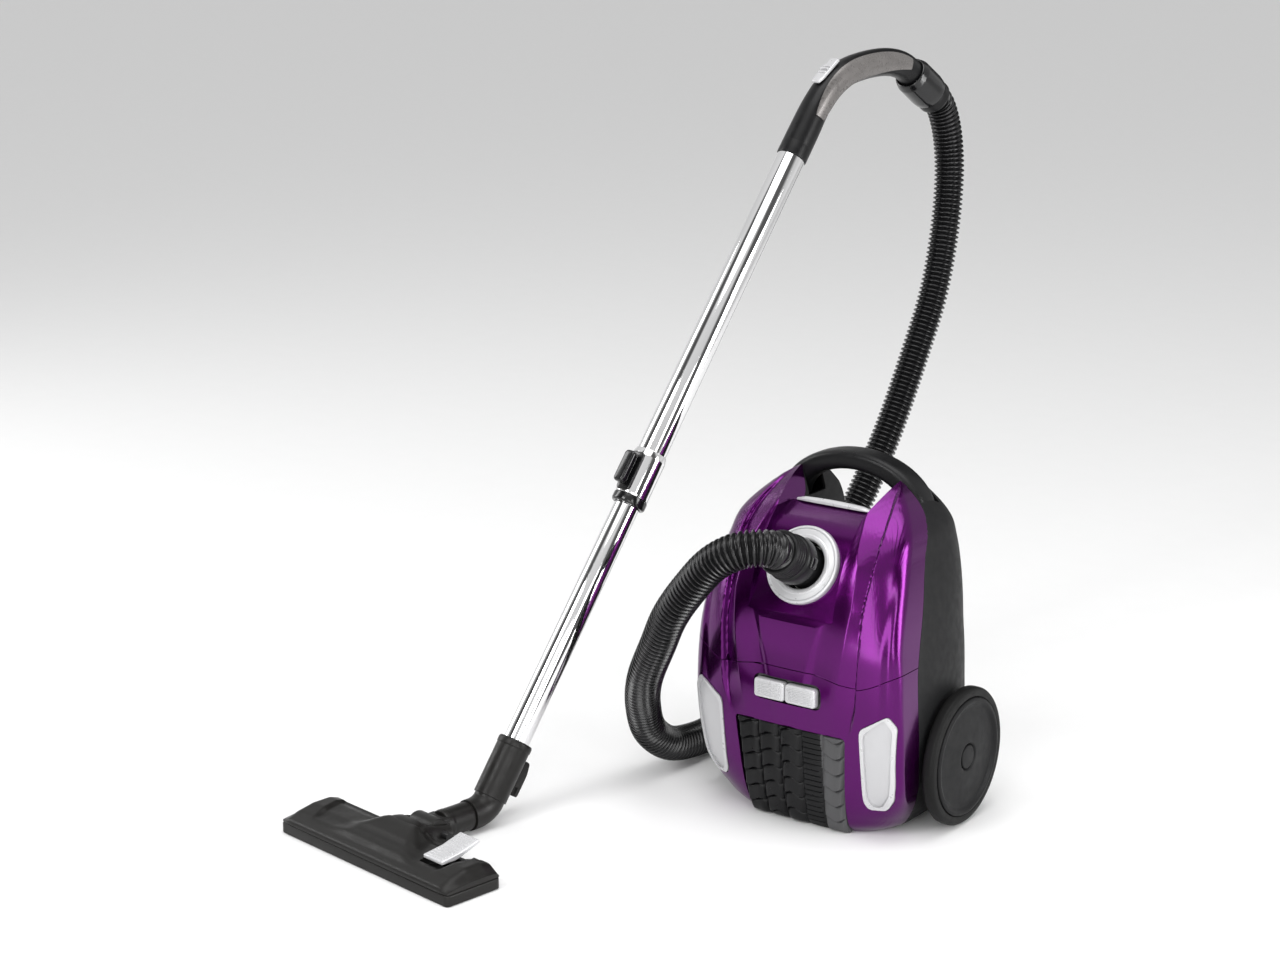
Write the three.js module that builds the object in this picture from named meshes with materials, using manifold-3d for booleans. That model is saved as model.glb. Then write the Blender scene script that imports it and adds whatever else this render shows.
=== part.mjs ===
// Bagged canister vacuum cleaner: canister stood on its rear end, hose, telescopic wand, floor head.
// Millimetres, +Z up. Origin: middle of the canister's standing base, on the floor.
// -Y is the glossy front that carries the lid, +X is the user's right when facing that front.
import * as THREE from 'three';
import { mergeVertices } from 'three/addons/utils/BufferGeometryUtils.js';
import Module from 'manifold-3d';

const wasm = await Module();
wasm.setup();

// ---------------------------------------------------------------- driving dimensions
const GAP = 0.4;                 // clearance between neighbouring pieces
const WALL = 2.8;                // moulded shell thickness
const FRONT_POWER = 2.6;         // roundness of the front half of a canister section
const REAR_POWER = 5.2;          // roundness of the rear half
const RING_POINTS = 32;          // points round one canister section

// Canister sections: height, half width, front, widest point, back.
const SECTIONS = [
  [0, 90, -87, -10, 60], [8, 100, -93, -28, 70], [22, 109, -98, -48, 76], [50, 119, -104, -74, 78],
  [80, 122.5, -108, -85, 78], [110, 124, -112, -90, 78], [150, 123, -117, -92, 78],
  [180, 121.5, -118, -91, 78], [205, 119, -118, -89.5, 78], [235, 116, -115, -80, 78],
  [262, 112, -108, -68, 77], [290, 106.5, -96, -56, 74], [315, 100, -76, -45, 66],
  [335, 85, -53, -25, 52], [350, 68, -26, -9, 39], [357, 57, -8, -1, 30],
];
// Where the glossy lid and lower cover meet the dark pan: height, y.
const SPLIT = [
  [0, -46], [54, -54], [101, -62], [146, -65], [182, -64], [208, -57], [247, -45], [285, -33],
  [313, -19], [331, -6], [357, -1],
];
const TOP = 357;                 // tips of the lid's two horns
const SEAM = [[0, 176], [32, 175.5], [54, 172], [77, 168], [95, 173], [112, 182], [130, 190]]; // (x, z)
const VALLEY = [[-120, 218], [-107.5, 241], [-68.5, 313]]; // dished middle of the lid (y, z)
const ROOF_FRONT = [-32, 326];   // front edge (y, z) of the bag bay's sloping roof
const ROOF_SLOPE = 0.5;          // drop of that roof per mm going back
const WINDOW_HALF = 50;          // half width of the handle window at the roof
const WINDOW_FLARE = 12;         // extra half width at the horn tips

const HANDLE = { z: 317, outer: [88, 60], inner: [62, 39], cut: 323, y: [-0.5, 31] };
const WHEEL = { radius: 72.5, y: 8, z: 74, x: 127, width: 16 };
const AXLE_RADIUS = 4;
const CASTER = { z: 240, pocket: 31, depth: 28, wheel: 15, trail: 11, floor: 85, skin: 77.4 };
const INLET = { y: -88, z: 277, tilt: Math.atan2(0.475, 0.88), ring: 41, mouth: 25.5, cuff: 55 };
const PEDAL = { z: [138.5, 161.5], half: 38, face: -122 };
const GRILLE = { top: 112, halfTop: 63, halfBottom: 57, louvres: 6 };
const MOTOR = { x: 30, y: -2, z: 16, radius: 50, height: 116 };
const BULKHEAD_Z = 150;
const REEL = { x: [-96, -60], y: 2, z: 72, flange: 50, core: 22 };

const HEAD_ORIGIN = [-285, -443.2, 0];            // middle of the floor head's front edge
const HEAD_TURN = THREE.MathUtils.degToRad(-9.77); // heading of head and wand
const HEAD_WIDTH = 260;
const ELBOW = [159, 17.2];                          // wand pivot (y, z) in the head's frame
const WAND_LEAN = Math.atan2(0.585, 0.811);       // wand axis from the vertical
const WAND = { lower: 14, upper: 16, wall: 1.1, collar: 385, upperEnd: 788, socketEnd: 64 };
const GRIP_RADIUS = 15.5;
const HOSE_END = { at: [843, 697], dir: [0.82, -0.572] };
const HOSE_RADIUS = 19;

// The hose's centre line from the inlet cuff to the grip.
const HOSE_ROUTE = [
  [0, -136.8, 303.4], [0, -142, 306.2], [-8, -153, 309], [-27, -164, 306], [-54, -169, 290],
  [-83, -168, 259], [-111, -163, 223], [-135, -151, 184], [-167, -130, 134], [-188, -104, 93],
  [-199, -76, 54], [-198, -42, 29], [-195, 2, 20.5], [-194, 52, 20.5], [-190, 105, 33],
  [-182, 160, 72], [-171, 213, 138], [-162, 255, 205], [-153, 290, 260], [-147, 327, 318],
  [-141, 368, 395], [-135, 398, 465], [-133, 417, 540], [-134, 425, 600], [-135.5, 424, 632],
  [-136.5, 419, 655], [-138, 411, 675], [-139.2, 403.8, 685.6], [-140.2, 397.8, 689.9],
];

// ---------------------------------------------------------------- solids
function cleaned(geometry) {
  const bare = geometry.clone();
  bare.deleteAttribute('normal');
  bare.deleteAttribute('uv');
  const merged = mergeVertices(bare, 1e-4);
  const kept = [];
  const index = merged.index.array;
  for (let i = 0; i < index.length; i += 3) {
    const [a, b, c] = [index[i], index[i + 1], index[i + 2]];
    if (a !== b && b !== c && c !== a) kept.push(a, b, c);
  }
  merged.setIndex(kept);
  return merged;
}

function toSolid(geometry) {
  const merged = cleaned(geometry);
  return new wasm.Manifold(new wasm.Mesh({
    numProp: 3,
    vertProperties: new Float32Array(merged.attributes.position.array),
    triVerts: new Uint32Array(merged.index.array),
  }));
}

function toGeometry(manifold) {
  const mesh = manifold.getMesh();
  const geometry = new THREE.BufferGeometry();
  geometry.setAttribute('position', new THREE.BufferAttribute(new Float32Array(mesh.vertProperties), 3));
  geometry.setIndex(Array.from(mesh.triVerts));
  geometry.computeVertexNormals();
  return geometry;
}

const boolean = (operation, first, others) =>
  toGeometry(others.reduce((sum, next) => sum[operation](toSolid(next)), toSolid(first)));
const cut = (first, ...others) => boolean('subtract', first, others);
const join = (first, ...others) => boolean('add', first, others);
const common = (first, ...others) => boolean('intersect', first, others);

function box(x0, x1, y0, y1, z0, z1) {
  const geometry = new THREE.BoxGeometry(x1 - x0, y1 - y0, z1 - z0);
  return geometry.translate((x0 + x1) / 2, (y0 + y1) / 2, (z0 + z1) / 2);
}

function shapeOf(points) {
  return new THREE.Shape(points.map(([u, v]) => new THREE.Vector2(u, v)));
}

// Prisms: an outline in the plane across the named axis, between two stations on it.
function prismZ(points, z0, z1) {
  const flat = { depth: z1 - z0, bevelEnabled: false, steps: 1 };
  return new THREE.ExtrudeGeometry(shapeOf(points), flat).translate(0, 0, z0);
}

function prismY(points, y0, y1) {
  return prismZ(points, 0, y1 - y0).rotateX(Math.PI / 2).translate(0, y1, 0);
}

function prismX(points, x0, x1) {
  const turn = new THREE.Matrix4().makeBasis(
    new THREE.Vector3(0, 1, 0), new THREE.Vector3(0, 0, 1), new THREE.Vector3(1, 0, 0));
  return prismZ(points, x0, x1).applyMatrix4(turn);
}

function roundedRect(u0, u1, v0, v1, radius, steps = 4) {
  const corners = [[u1, v1, 0], [u0, v1, 1], [u0, v0, 2], [u1, v0, 3]];
  return corners.flatMap(([u, v, quarter]) => Array.from({ length: steps + 1 }, (_, i) => {
    const angle = (quarter + i / steps) * Math.PI / 2;
    const inU = u === u1 ? u - radius : u + radius;
    const inV = v === v1 ? v - radius : v + radius;
    return [inU + radius * Math.cos(angle), inV + radius * Math.sin(angle)];
  }));
}

// A body of revolution about Z; profile points are [radius, height].
function turned(profile, segments = 20) {
  return new THREE.LatheGeometry(profile.map(([r, z]) => new THREE.Vector2(r, z)), segments)
    .rotateX(Math.PI / 2);
}

// The washer-shaped or tubular ring between two radii.
const ring = (inner, outer, z0, z1, segments = 20) =>
  turned([[inner, z0], [outer, z0], [outer, z1], [inner, z1], [inner, z0]], segments);
const disc = (radius, z0, z1, segments = 20) =>
  turned([[0, z0], [radius, z0], [radius, z1], [0, z1]], segments);
const alongX = (geometry) => geometry.rotateY(Math.PI / 2);

// A round bar along X on one side of the canister, between two distances from its middle.
const sideBar = (side, radius, near, far) =>
  alongX(side > 0 ? disc(radius, near, far) : disc(radius, -far, -near));

function circle(radius, sides) {
  return Array.from({ length: sides }, (_, i) => {
    const angle = (i / sides) * 2 * Math.PI;
    return [radius * Math.cos(angle), radius * Math.sin(angle)];
  });
}

// A solid or hollow tube swept along a smooth curve through the points.
function swept(points, outer, inner, sides, steps) {
  const shape = shapeOf(circle(outer, sides));
  const bore = circle(inner, sides).map(([u, v]) => new THREE.Vector2(u, v));
  if (inner > 0) shape.holes.push(new THREE.Path(bore));
  const path = new THREE.CatmullRomCurve3(points.map((p) => new THREE.Vector3(...p)), false, 'centripetal');
  return new THREE.ExtrudeGeometry(shape, { steps, bevelEnabled: false, extrudePath: path });
}

// Skin through a stack of closed rings that all have the same number of points.
function loft(rings) {
  const count = rings[0].length;
  const positions = rings.flat();
  const index = [];
  for (let level = 0; level + 1 < rings.length; level += 1) {
    for (let i = 0; i < count; i += 1) {
      const a = level * count + i;
      const b = level * count + (i + 1) % count;
      index.push(a, b, b + count, a, b + count, a + count);
    }
  }
  const capAt = (level, facesUp) => {
    const middle = positions.length;
    const ringPoints = rings[level];
    positions.push([0, 1, 2].map((k) => ringPoints.reduce((sum, p) => sum + p[k], 0) / count));
    for (let i = 0; i < count; i += 1) {
      const [a, b] = [level * count + i, level * count + (i + 1) % count];
      index.push(middle, facesUp ? a : b, facesUp ? b : a);
    }
  };
  capAt(0, false);
  capAt(rings.length - 1, true);
  const geometry = new THREE.BufferGeometry();
  geometry.setAttribute('position', new THREE.Float32BufferAttribute(positions.flat(), 3));
  geometry.setIndex(index);
  return geometry;
}

// ---------------------------------------------------------------- materials
const finish = (color, roughness, metalness = 0) =>
  new THREE.MeshStandardMaterial({ color, roughness, metalness });
const PURPLE = finish(0x5c0a78, 0.15);
const BLACK = finish(0x1c1c1e, 0.5);
const SOFT_BLACK = finish(0x141415, 0.8);
const SILVER = finish(0xd9d9dc, 0.35, 0.3);
const CHROME = finish(0xe4e4e8, 0.08, 1);
const GUNMETAL = finish(0x55565a, 0.4, 0.4);
const STEEL = finish(0xa8abae, 0.35, 1);
const PAPER = finish(0xc9b48c, 0.95);
const WHITE = finish(0xe8e8e4, 0.7);
const GREEN = finish(0x1f5a35, 0.6);

function piece(name, geometry, material) {
  const mesh = new THREE.Mesh(cleaned(geometry), material);
  mesh.name = name;
  return mesh;
}

// ---------------------------------------------------------------- canister shell
function sectionAt(z) {
  const above = Math.max(1, SECTIONS.findIndex((row) => row[0] >= z));
  const [low, high] = [SECTIONS[above - 1], SECTIONS[above]];
  const mix = (z - low[0]) / (high[0] - low[0]);
  return low.map((value, i) => value + (high[i] - value) * mix);
}

function canisterRing(z, inset) {
  const [, half, front, widest, back] = sectionAt(z);
  const slope = z > 300 ? 1.7 : 1;
  const depth = inset * slope;
  const power = (value, exponent) => Math.sign(value) * Math.abs(value) ** (2 / exponent);
  return Array.from({ length: RING_POINTS }, (_, i) => {
    const angle = (i / RING_POINTS) * 2 * Math.PI;
    const [c, s] = [Math.cos(angle), Math.sin(angle)];
    const exponent = s >= 0 ? REAR_POWER : FRONT_POWER;
    const reach = s >= 0 ? back - depth - widest : widest - front - depth;
    return [(half - depth) * power(c, exponent), widest + reach * power(s, exponent), z];
  });
}

function canisterBody(inset) {
  const low = Math.max(0, inset);
  const high = TOP - Math.max(0, 2 * inset);
  const levels = [low, ...SECTIONS.map((row) => row[0]).filter((z) => z > low + 1 && z < high - 1), high];
  return loft(levels.map((z) => canisterRing(z, inset)));
}

const roofAt = (y) => ROOF_FRONT[1] - ROOF_SLOPE * (y - ROOF_FRONT[0]);

// The dish between the lid's horns, open under the handle and back over the sloping roof.
function handleWindow(grow) {
  const high = 420;
  const [low, flare] = [WINDOW_HALF + grow, WINDOW_HALF + WINDOW_FLARE + grow];
  const across = [[-low, 200], [low, 200], [low, ROOF_FRONT[1]], [flare, TOP + 8], [flare, high],
    [-flare, high], [-flare, TOP + 8], [-low, ROOF_FRONT[1]]];
  const fore = [[-140, high], [-140, VALLEY[0][1] - grow],
    ...VALLEY.map(([y, z]) => [y + 0.88 * grow, z - 0.475 * grow]),
    [ROOF_FRONT[0], ROOF_FRONT[1] - grow], [100, roofAt(100) - grow], [100, high]];
  return common(prismY(across, -140, 100), prismX(fore, -90, 90));
}

// Everything in front of the line where the lid and lower cover meet the pan.
function frontHalf(shift) {
  const edge = SPLIT.map(([z, y]) => [y + shift, z]);
  return prismX([[-220, -10], [edge[0][0], -10], ...edge, [edge.at(-1)[0] + 40, TOP + 40], [-220, TOP + 40]],
    -200, 200);
}

// Everything above the curved seam between lid and lower cover.
function aboveSeam(shift) {
  const right = SEAM.map(([x, z]) => [x, z + shift]);
  const seam = [...right.slice(1).map(([x, z]) => [-x, z]).reverse(), ...right];
  return prismY([...seam, [130, 450], [-130, 450]], -200, 120);
}

function archOutline(grow, withInner) {
  const steps = 14;
  const cutZ = HANDLE.cut - (withInner ? 0 : GAP);
  const arc = ([a, b]) => {
    const start = Math.asin((cutZ - HANDLE.z) / b);
    return Array.from({ length: steps + 1 }, (_, i) => {
      const angle = start + ((Math.PI - 2 * start) * i) / steps;
      return [a * Math.cos(angle), HANDLE.z + b * Math.sin(angle)];
    });
  };
  const outer = arc([HANDLE.outer[0] + grow, HANDLE.outer[1] + grow]);
  return withInner ? [...outer, ...arc(HANDLE.inner).reverse()] : outer;
}

// The inlet's own frame: local +Z is the way the hose leaves the lid.
function atInlet(geometry) {
  return geometry.rotateX(Math.PI / 2 - INLET.tilt).translate(0, INLET.y, INLET.z);
}

function carryHandle() {
  const bevel = { bevelEnabled: true, bevelThickness: 4, bevelSize: 4, bevelOffset: -4, bevelSegments: 2 };
  const depth = HANDLE.y[1] - HANDLE.y[0] - 8;
  const arch = new THREE.ExtrudeGeometry(shapeOf(archOutline(0, true)), { depth, steps: 1, ...bevel });
  return arch.rotateX(Math.PI / 2).translate(0, HANDLE.y[1] - 4, 0);
}

function grilleOutline(inset) {
  const [top, half, low] = [GRILLE.top - inset, GRILLE.halfTop - inset, GRILLE.halfBottom - inset];
  return [[-low, inset > 0 ? 0.2 : -5], [low, inset > 0 ? 0.2 : -5], [half, top], [-half, top]];
}

// A side insert's outline on the right; mirrored for the left.
function insertOutline(side, inset) {
  const [x0, x1, low, highIn, highOut] = [82 + inset, 121 - inset, 36 + inset, 127 - inset, 145 - inset];
  const points = [[x0 + 4, low], [x1 - 14, low], [x1 - 4, low + 14], [x1, low + 26], [x1, highOut - 12],
    [x1 - 8, highOut], [x0 + 2, highIn], [x0, highIn - 6], [x0, low + 8]];
  return side > 0 ? points : points.map(([x, z]) => [-x, z]).reverse();
}

function canisterShell() {
  const cavity = cut(canisterBody(WALL), handleWindow(WALL));
  return cut(canisterBody(0), handleWindow(0), cavity);
}

// Room for the carry handle and the hand space under it.
function handleZone() {
  return prismY(archOutline(GAP, false), HANDLE.y[0] - GAP, HANDLE.y[1] + GAP);
}

function basePan(shell) {
  const atCaster = (solid) => solid.rotateX(Math.PI / 2).translate(0, CASTER.skin, CASTER.z);
  const pocketWall = atCaster(disc(CASTER.pocket + WALL, -2, CASTER.depth + WALL));
  const pocket = atCaster(disc(CASTER.pocket, -20, CASTER.depth));
  const pin = atCaster(disc(3.4, CASTER.depth - 1, CASTER.depth + 9));
  let pan = cut(shell, frontHalf(GAP), handleZone());
  pan = cut(join(pan, pocketWall), pocket, pin);
  for (const side of [-1, 1]) {
    const boss = box(side > 0 ? 110 : -125, side > 0 ? 125 : -110, WHEEL.y - 13, WHEEL.y + 13,
      WHEEL.z - 13, WHEEL.z + 13);
    pan = cut(join(pan, boss), sideBar(side, AXLE_RADIUS + GAP, 90, 140)
      .translate(0, WHEEL.y, WHEEL.z));
  }
  const outlet = sideBar(-1, 9.4, 100, 140).translate(0, -46, 128);
  return cut(pan, outlet);
}

function lowerCover(shell) {
  const pedalSlot = prismY(roundedRect(-PEDAL.half - 1.5, PEDAL.half + 1.5,
    PEDAL.z[0] - 1.5, PEDAL.z[1] + 1.5, 6), -140, -80);
  const inserts = [1, -1].map((side) => prismY(insertOutline(side, 0), -150, -84));
  return cut(common(shell, frontHalf(0)), aboveSeam(-0.6), prismY(grilleOutline(0), -150, -50),
    pedalSlot, ...inserts);
}

function lidShell(shell) {
  const mouth = atInlet(disc(INLET.mouth + 1.5, -30, 30));
  const hooks = [-1, 1].flatMap((side) => [
    box(side * 46 - 7, side * 46 + 7, -114.2, -108.5, 175, 184),
    box(side * 46 - 7, side * 46 + 7, -112.4, -108.5, 160, 178),
  ]);
  return cut(join(common(shell, frontHalf(0), aboveSeam(0)), ...hooks), mouth, handleZone());
}

function grille() {
  const [pitch, depth] = [(GRILLE.top - 4) / GRILLE.louvres, 5];
  const front = (z) => sectionAt(z)[2];
  const steps = [];
  for (let i = 0; i < GRILLE.louvres; i += 1) {
    const z = 3 + i * pitch;
    const crest = [front(z + pitch) + depth, z + pitch];
    steps.push([front(z) - 1, z], [crest[0], crest[1] - 3], crest);
  }
  const back = steps.map(([y, z]) => [y + 7, z]).reverse();
  const panel = prismX([...steps, ...back], -75, 75);
  const trimmed = common(panel, prismY(grilleOutline(GAP), -130, -80));
  const slots = [];
  for (let i = 0; i < GRILLE.louvres; i += 1) {
    const z = 3 + i * pitch;
    for (const x of [-36, 0, 36]) slots.push(box(x - 15, x + 15, -125, -70, z + 5, z + 9));
  }
  return cut(trimmed, ...slots);
}

function sideInsert(side) {
  const skin = cut(canisterBody(-0.8), canisterBody(3.2));
  return common(skin, prismY(insertOutline(side, GAP), -150, -84 - GAP));
}

function pedalPiece(side) {
  const [near, far] = [0.6, PEDAL.half];
  const outline = side > 0 ? roundedRect(near, far, ...PEDAL.z, 4) : roundedRect(-far, -near, ...PEDAL.z, 4);
  const plate = prismY(outline, PEDAL.face, PEDAL.face + 9);
  const stem = box(side * 20 - 4, side * 20 + 4, PEDAL.face + 8, -108.5, 146, 154);
  return join(plate, stem);
}

// The canister's outer form with clearance, which outer trim is cut back to.
function lidClearance() {
  return cut(canisterBody(-GAP), handleWindow(-GAP));
}

// The silver bar along the lid's top edge that is lifted to open the lid.
function lidLatch() {
  const [y, z] = ROOF_FRONT;
  const profile = [[y - 4, z - 1], [y - 3, z + 4], [y + 1, z + 5.5], [y + 7, z + 2.5],
    [y + 7, roofAt(y + 7) + 0.6], [y, z + 0.6]];
  return cut(prismX(profile, -45, 45), lidClearance());
}

// ---------------------------------------------------------------- canister internals
function bulkhead() {
  const plate = loft([BULKHEAD_Z, BULKHEAD_Z + 3.5].map((z) => canisterRing(z, WALL + 0.8)));
  return cut(plate, box(-200, 200, -200, -84, 0, 300), disc(30, 140, 160).translate(MOTOR.x, MOTOR.y, 0));
}

function motorHousing() {
  const { radius, height } = MOTOR;
  return turned([[8, 0], [radius, 0], [radius, height], [32, height], [32, height - 3],
    [radius - 3, height - 3], [radius - 3, 3], [8, 3], [8, 0]], 28);
}

function motorRotor() {
  return turned([[0, -6], [5, -6], [5, 22], [28, 22], [28, 66], [5, 66], [5, 82], [43, 82], [43, 88],
    [12, 92], [12, 100], [0, 100]], 24);
}

function reelDrum() {
  const { x, flange, core } = REEL;
  const width = x[1] - x[0];
  return turned([[7, 0], [flange, 0], [flange, 2.5], [core, 2.5], [core, width - 2.5],
    [flange, width - 2.5], [flange, width], [7, width], [7, 0]], 28);
}

function reelFrame() {
  const { x, y, z, flange } = REEL;
  const plate = prismX(roundedRect(y - flange, y + flange, z - flange, z + flange, 14), x[1] + 3, x[1] + 7);
  return join(plate, alongX(disc(6.4, x[0], x[1] + 5)).translate(0, y, z));
}

function dustBag() {
  const levels = [[172, 48, 26], [184, 78, 42], [215, 90, 50], [245, 88, 48], [268, 72, 36], [281, 46, 18]];
  return loft(levels.map(([z, a, b]) => circle(1, 24).map(([u, v]) => [a * u, -10 + b * v, z])));
}

function bagHolder() {
  const plate = prismZ(roundedRect(-46, 46, -36, 36, 8), -22, -19);
  const hole = disc(22, -30, -10);
  return atInlet(cut(plate, hole));
}

function brakeLever() {
  return prismZ([[-16, -108], [-16, -99], [-76, -99], [-76, -42], [-81, -42], [-81, -108]], 138.6, 146);
}

function casterFork() {
  const { depth, floor, wheel, trail, z, skin } = CASTER;
  const axleY = floor - wheel;
  const plate = disc(20, skin - depth + 1, skin - depth + 5).rotateX(-Math.PI / 2).translate(0, 0, z);
  const pin = disc(3, skin - depth - 7, skin - depth + 3).rotateX(-Math.PI / 2).translate(0, 0, z);
  const cheek = (side) => prismX([[skin - depth + 3, z - 14], [axleY + 3, z - trail - 5],
    [axleY + 3, z - trail + 5], [skin - depth + 3, z + 10]], side * 11 - 1.5, side * 11 + 1.5);
  return join(plate, pin, cheek(-1), cheek(1),
    alongX(disc(2.2, -11, 11, 16)).translate(0, axleY, z - trail));
}

function wheelParts(side, label) {
  const { radius, width } = WHEEL;
  const tyre = turned([[radius - 10, 2], [radius - 2, 1], [radius, 4], [radius, width - 5],
    [radius - 4, width - 1], [radius - 10, width - 1], [radius - 10, 2]], 28);
  const face = turned([[AXLE_RADIUS + GAP, 0], [16, 0], [18, 5], [radius - 10.4, 5], [radius - 10.4, width],
    [radius - 16, width + 0.8], [radius - 20, width - 2.5], [13, width - 0.5], [13, width - 4],
    [AXLE_RADIUS + GAP, width - 4], [AXLE_RADIUS + GAP, 0]], 28);
  const head = turned([[0, width - 3.6], [12.4, width - 3.6], [12.4, width - 0.8], [8, width + 1],
    [0, width + 1]], 24);
  const shaft = join(disc(AXLE_RADIUS, -20, width - 3), head);
  const group = new THREE.Group();
  group.add(piece(`tyre_${label}`, tyre, SOFT_BLACK), piece(`wheel_${label}`, face, BLACK),
    piece(`axle_${label}`, shaft, BLACK));
  group.rotation.y = side * Math.PI / 2;
  group.position.set(side * WHEEL.x, WHEEL.y, WHEEL.z);
  return group;
}

function canister() {
  const group = new THREE.Group();
  const shell = canisterShell();
  const add = (name, geometry, material) => group.add(piece(name, geometry, material));
  add('base_pan', basePan(shell), BLACK);
  add('rear_cover', lowerCover(shell), PURPLE);
  add('lid', lidShell(shell), PURPLE);
  add('carry_handle', carryHandle(), BLACK);
  add('lid_latch', lidLatch(), SILVER);
  add('exhaust_grille', grille(), BLACK);
  add('side_insert_right', sideInsert(1), SILVER);
  add('side_insert_left', sideInsert(-1), SILVER);
  add('power_pedal', pedalPiece(1), SILVER);
  add('rewind_pedal', pedalPiece(-1), SILVER);
  add('inlet_ring', cut(atInlet(ring(INLET.mouth, INLET.ring, GAP, 6, 36)), lidClearance()), SILVER);
  add('inlet_seal', common(atInlet(ring(24.5, 34, -17, -5, 28)), canisterBody(WALL + GAP)), SOFT_BLACK);
  add('bulkhead', bulkhead(), BLACK);
  add('motor_housing', motorHousing().translate(MOTOR.x, MOTOR.y, MOTOR.z), STEEL);
  add('motor_rotor', motorRotor().translate(MOTOR.x, MOTOR.y, MOTOR.z + 8), STEEL);
  add('motor_seal', ring(32, 42, MOTOR.z + MOTOR.height + GAP, BULKHEAD_Z - GAP)
    .translate(MOTOR.x, MOTOR.y, 0), SOFT_BLACK);
  add('motor_filter', box(-14, 74, -46, 42, BULKHEAD_Z + 4, BULKHEAD_Z + 16), WHITE);
  add('exhaust_filter', box(-54, 54, -84, -74, 10, 120), WHITE);
  add('cord_reel', alongX(reelDrum()).translate(REEL.x[0], REEL.y, REEL.z), BLACK);
  add('reel_frame', reelFrame(), BLACK);
  add('brake_lever', brakeLever(), WHITE);
  add('power_switch', box(11, 29, -103.6, -86, 140, 160), WHITE);
  add('control_board', box(62, 98, -80, -50, 118, 120), GREEN);
  add('cord_outlet', alongX(ring(4.5, 9, -126, -115)).translate(0, -46, 128), SOFT_BLACK);
  add('dust_bag', dustBag(), PAPER);
  add('bag_holder', bagHolder(), WHITE);
  add('caster_fork', casterFork(), BLACK);
  add('caster_wheel', alongX(ring(2.6, CASTER.wheel, -8, 8)).translate(0, CASTER.floor - CASTER.wheel,
    CASTER.z - CASTER.trail), SOFT_BLACK);
  group.add(wheelParts(1, 'right'), wheelParts(-1, 'left'));
  return group;
}

// ---------------------------------------------------------------- hose
function inletCuff() {
  const profile = [[18.5, -16], [22.5, -16], [22.5, 16], [24.5, 18], [24.5, 32], [22.5, 35],
    [22.5, INLET.cuff], [18.5, INLET.cuff], [18.5, -16]];
  const pockets = [-1, 1].map((side) => prismX(roundedRect(-6.8, 6.8, 18.7, 31.3, 3),
    side > 0 ? 20.6 : -30, side > 0 ? 30 : -20.6));
  return atInlet(cut(turned(profile, 28), ...pockets));
}

function cuffButton(side) {
  return atInlet(prismX(roundedRect(-6, 6, 19.5, 30.5, 3), side > 0 ? 23 : -27, side > 0 ? 27 : -23));
}

function hoseParts() {
  const group = new THREE.Group();
  group.add(piece('hose_cuff', inletCuff(), BLACK));
  group.add(piece('cuff_button_right', cuffButton(1), BLACK));
  group.add(piece('cuff_button_left', cuffButton(-1), BLACK));
  group.add(piece('hose', swept(HOSE_ROUTE, HOSE_RADIUS, 0, 10, 56), SOFT_BLACK));
  return group;
}

// ---------------------------------------------------------------- grip and wand
// Everything here lies in the head's frame; the wand's own group has +Z along its axis.
function hoseEndFrame(geometry) {
  const [y, z] = HOSE_END.dir;
  return geometry.rotateX(-Math.atan2(y, z)).translate(0, ...HOSE_END.at);
}

function gripRoute(outer, inner) {
  const route = [[0, 620.4, 656.8], [0, 631.5, 672], [0, 650, 697], [0, 669, 716], [0, 696, 730],
    [0, 738, 737], [0, 772, 736.5], [0, 795.4, 730.2], [0, 818.4, 714.2], [0, 841.4, 698.1]];
  return swept(route, outer, inner, 12, 18);
}

function gripCollar() {
  return hoseEndFrame(turned([[16.4, -44], [19, -44], [21, -38], [21, 0], [16.4, 0], [16.4, -44]], 24));
}

function gripPanel() {
  return common(gripRoute(GRIP_RADIUS + 2.4, GRIP_RADIUS + GAP), box(3, 40, 700, 785, 690, 800));
}

function suctionSlider() {
  const plate = box(-6, 6, -14, 14, GRIP_RADIUS + 0.8, 20);
  const ridge = box(-6, 6, -2, 2, 19, 22.5);
  return join(plate, ridge).rotateX(0.66).translate(0, 671, 718);
}

function wandParts() {
  const { lower, upper, wall, collar, upperEnd, socketEnd } = WAND;
  const axis = new THREE.Group();
  axis.position.set(0, ...ELBOW);
  axis.rotation.x = -WAND_LEAN;
  const add = (name, geometry, material) => axis.add(piece(name, geometry, material));
  add('wand_lower', ring(lower - wall, lower, 34, collar + 40), CHROME);
  add('wand_upper', ring(upper - wall, upper, collar - 20, upperEnd), CHROME);
  add('wand_collar', ring(upper + GAP, 18.8, collar - 24, collar + 28), CHROME);
  add('collar_ring', ring(lower + GAP, 18.8, collar - 34, collar - 24.5), BLACK);
  add('grip_sleeve', ring(upper + GAP, 17.6, upperEnd - 14, upperEnd - 1), BLACK);
  add('wand_button', box(-7, 7, -31, -21.4, collar - 18, collar + 18), BLACK);
  const socket = turned([[lower + GAP, 0], [18, 0], [18, socketEnd - 6], [17, socketEnd],
    [lower + GAP, socketEnd], [lower + GAP, 0]]);
  add('wand_socket', socket.translate(0, 0, 14), BLACK);
  add('park_clip', join(box(-6, 6, 18.5, 24, 34, 64), box(-6, 6, 22, 31, 26, 64)), BLACK);
  return axis;
}

// ---------------------------------------------------------------- floor head
const HINGE = [84, 19];          // tilt hinge of the neck (y, z)
const HEAD_PROFILE = [[3, 4.4], [0, 9], [1, 15], [12, 24], [34, 30], [56, 30], [66, 22], [67, 6], [66, 4.4]];

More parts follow.
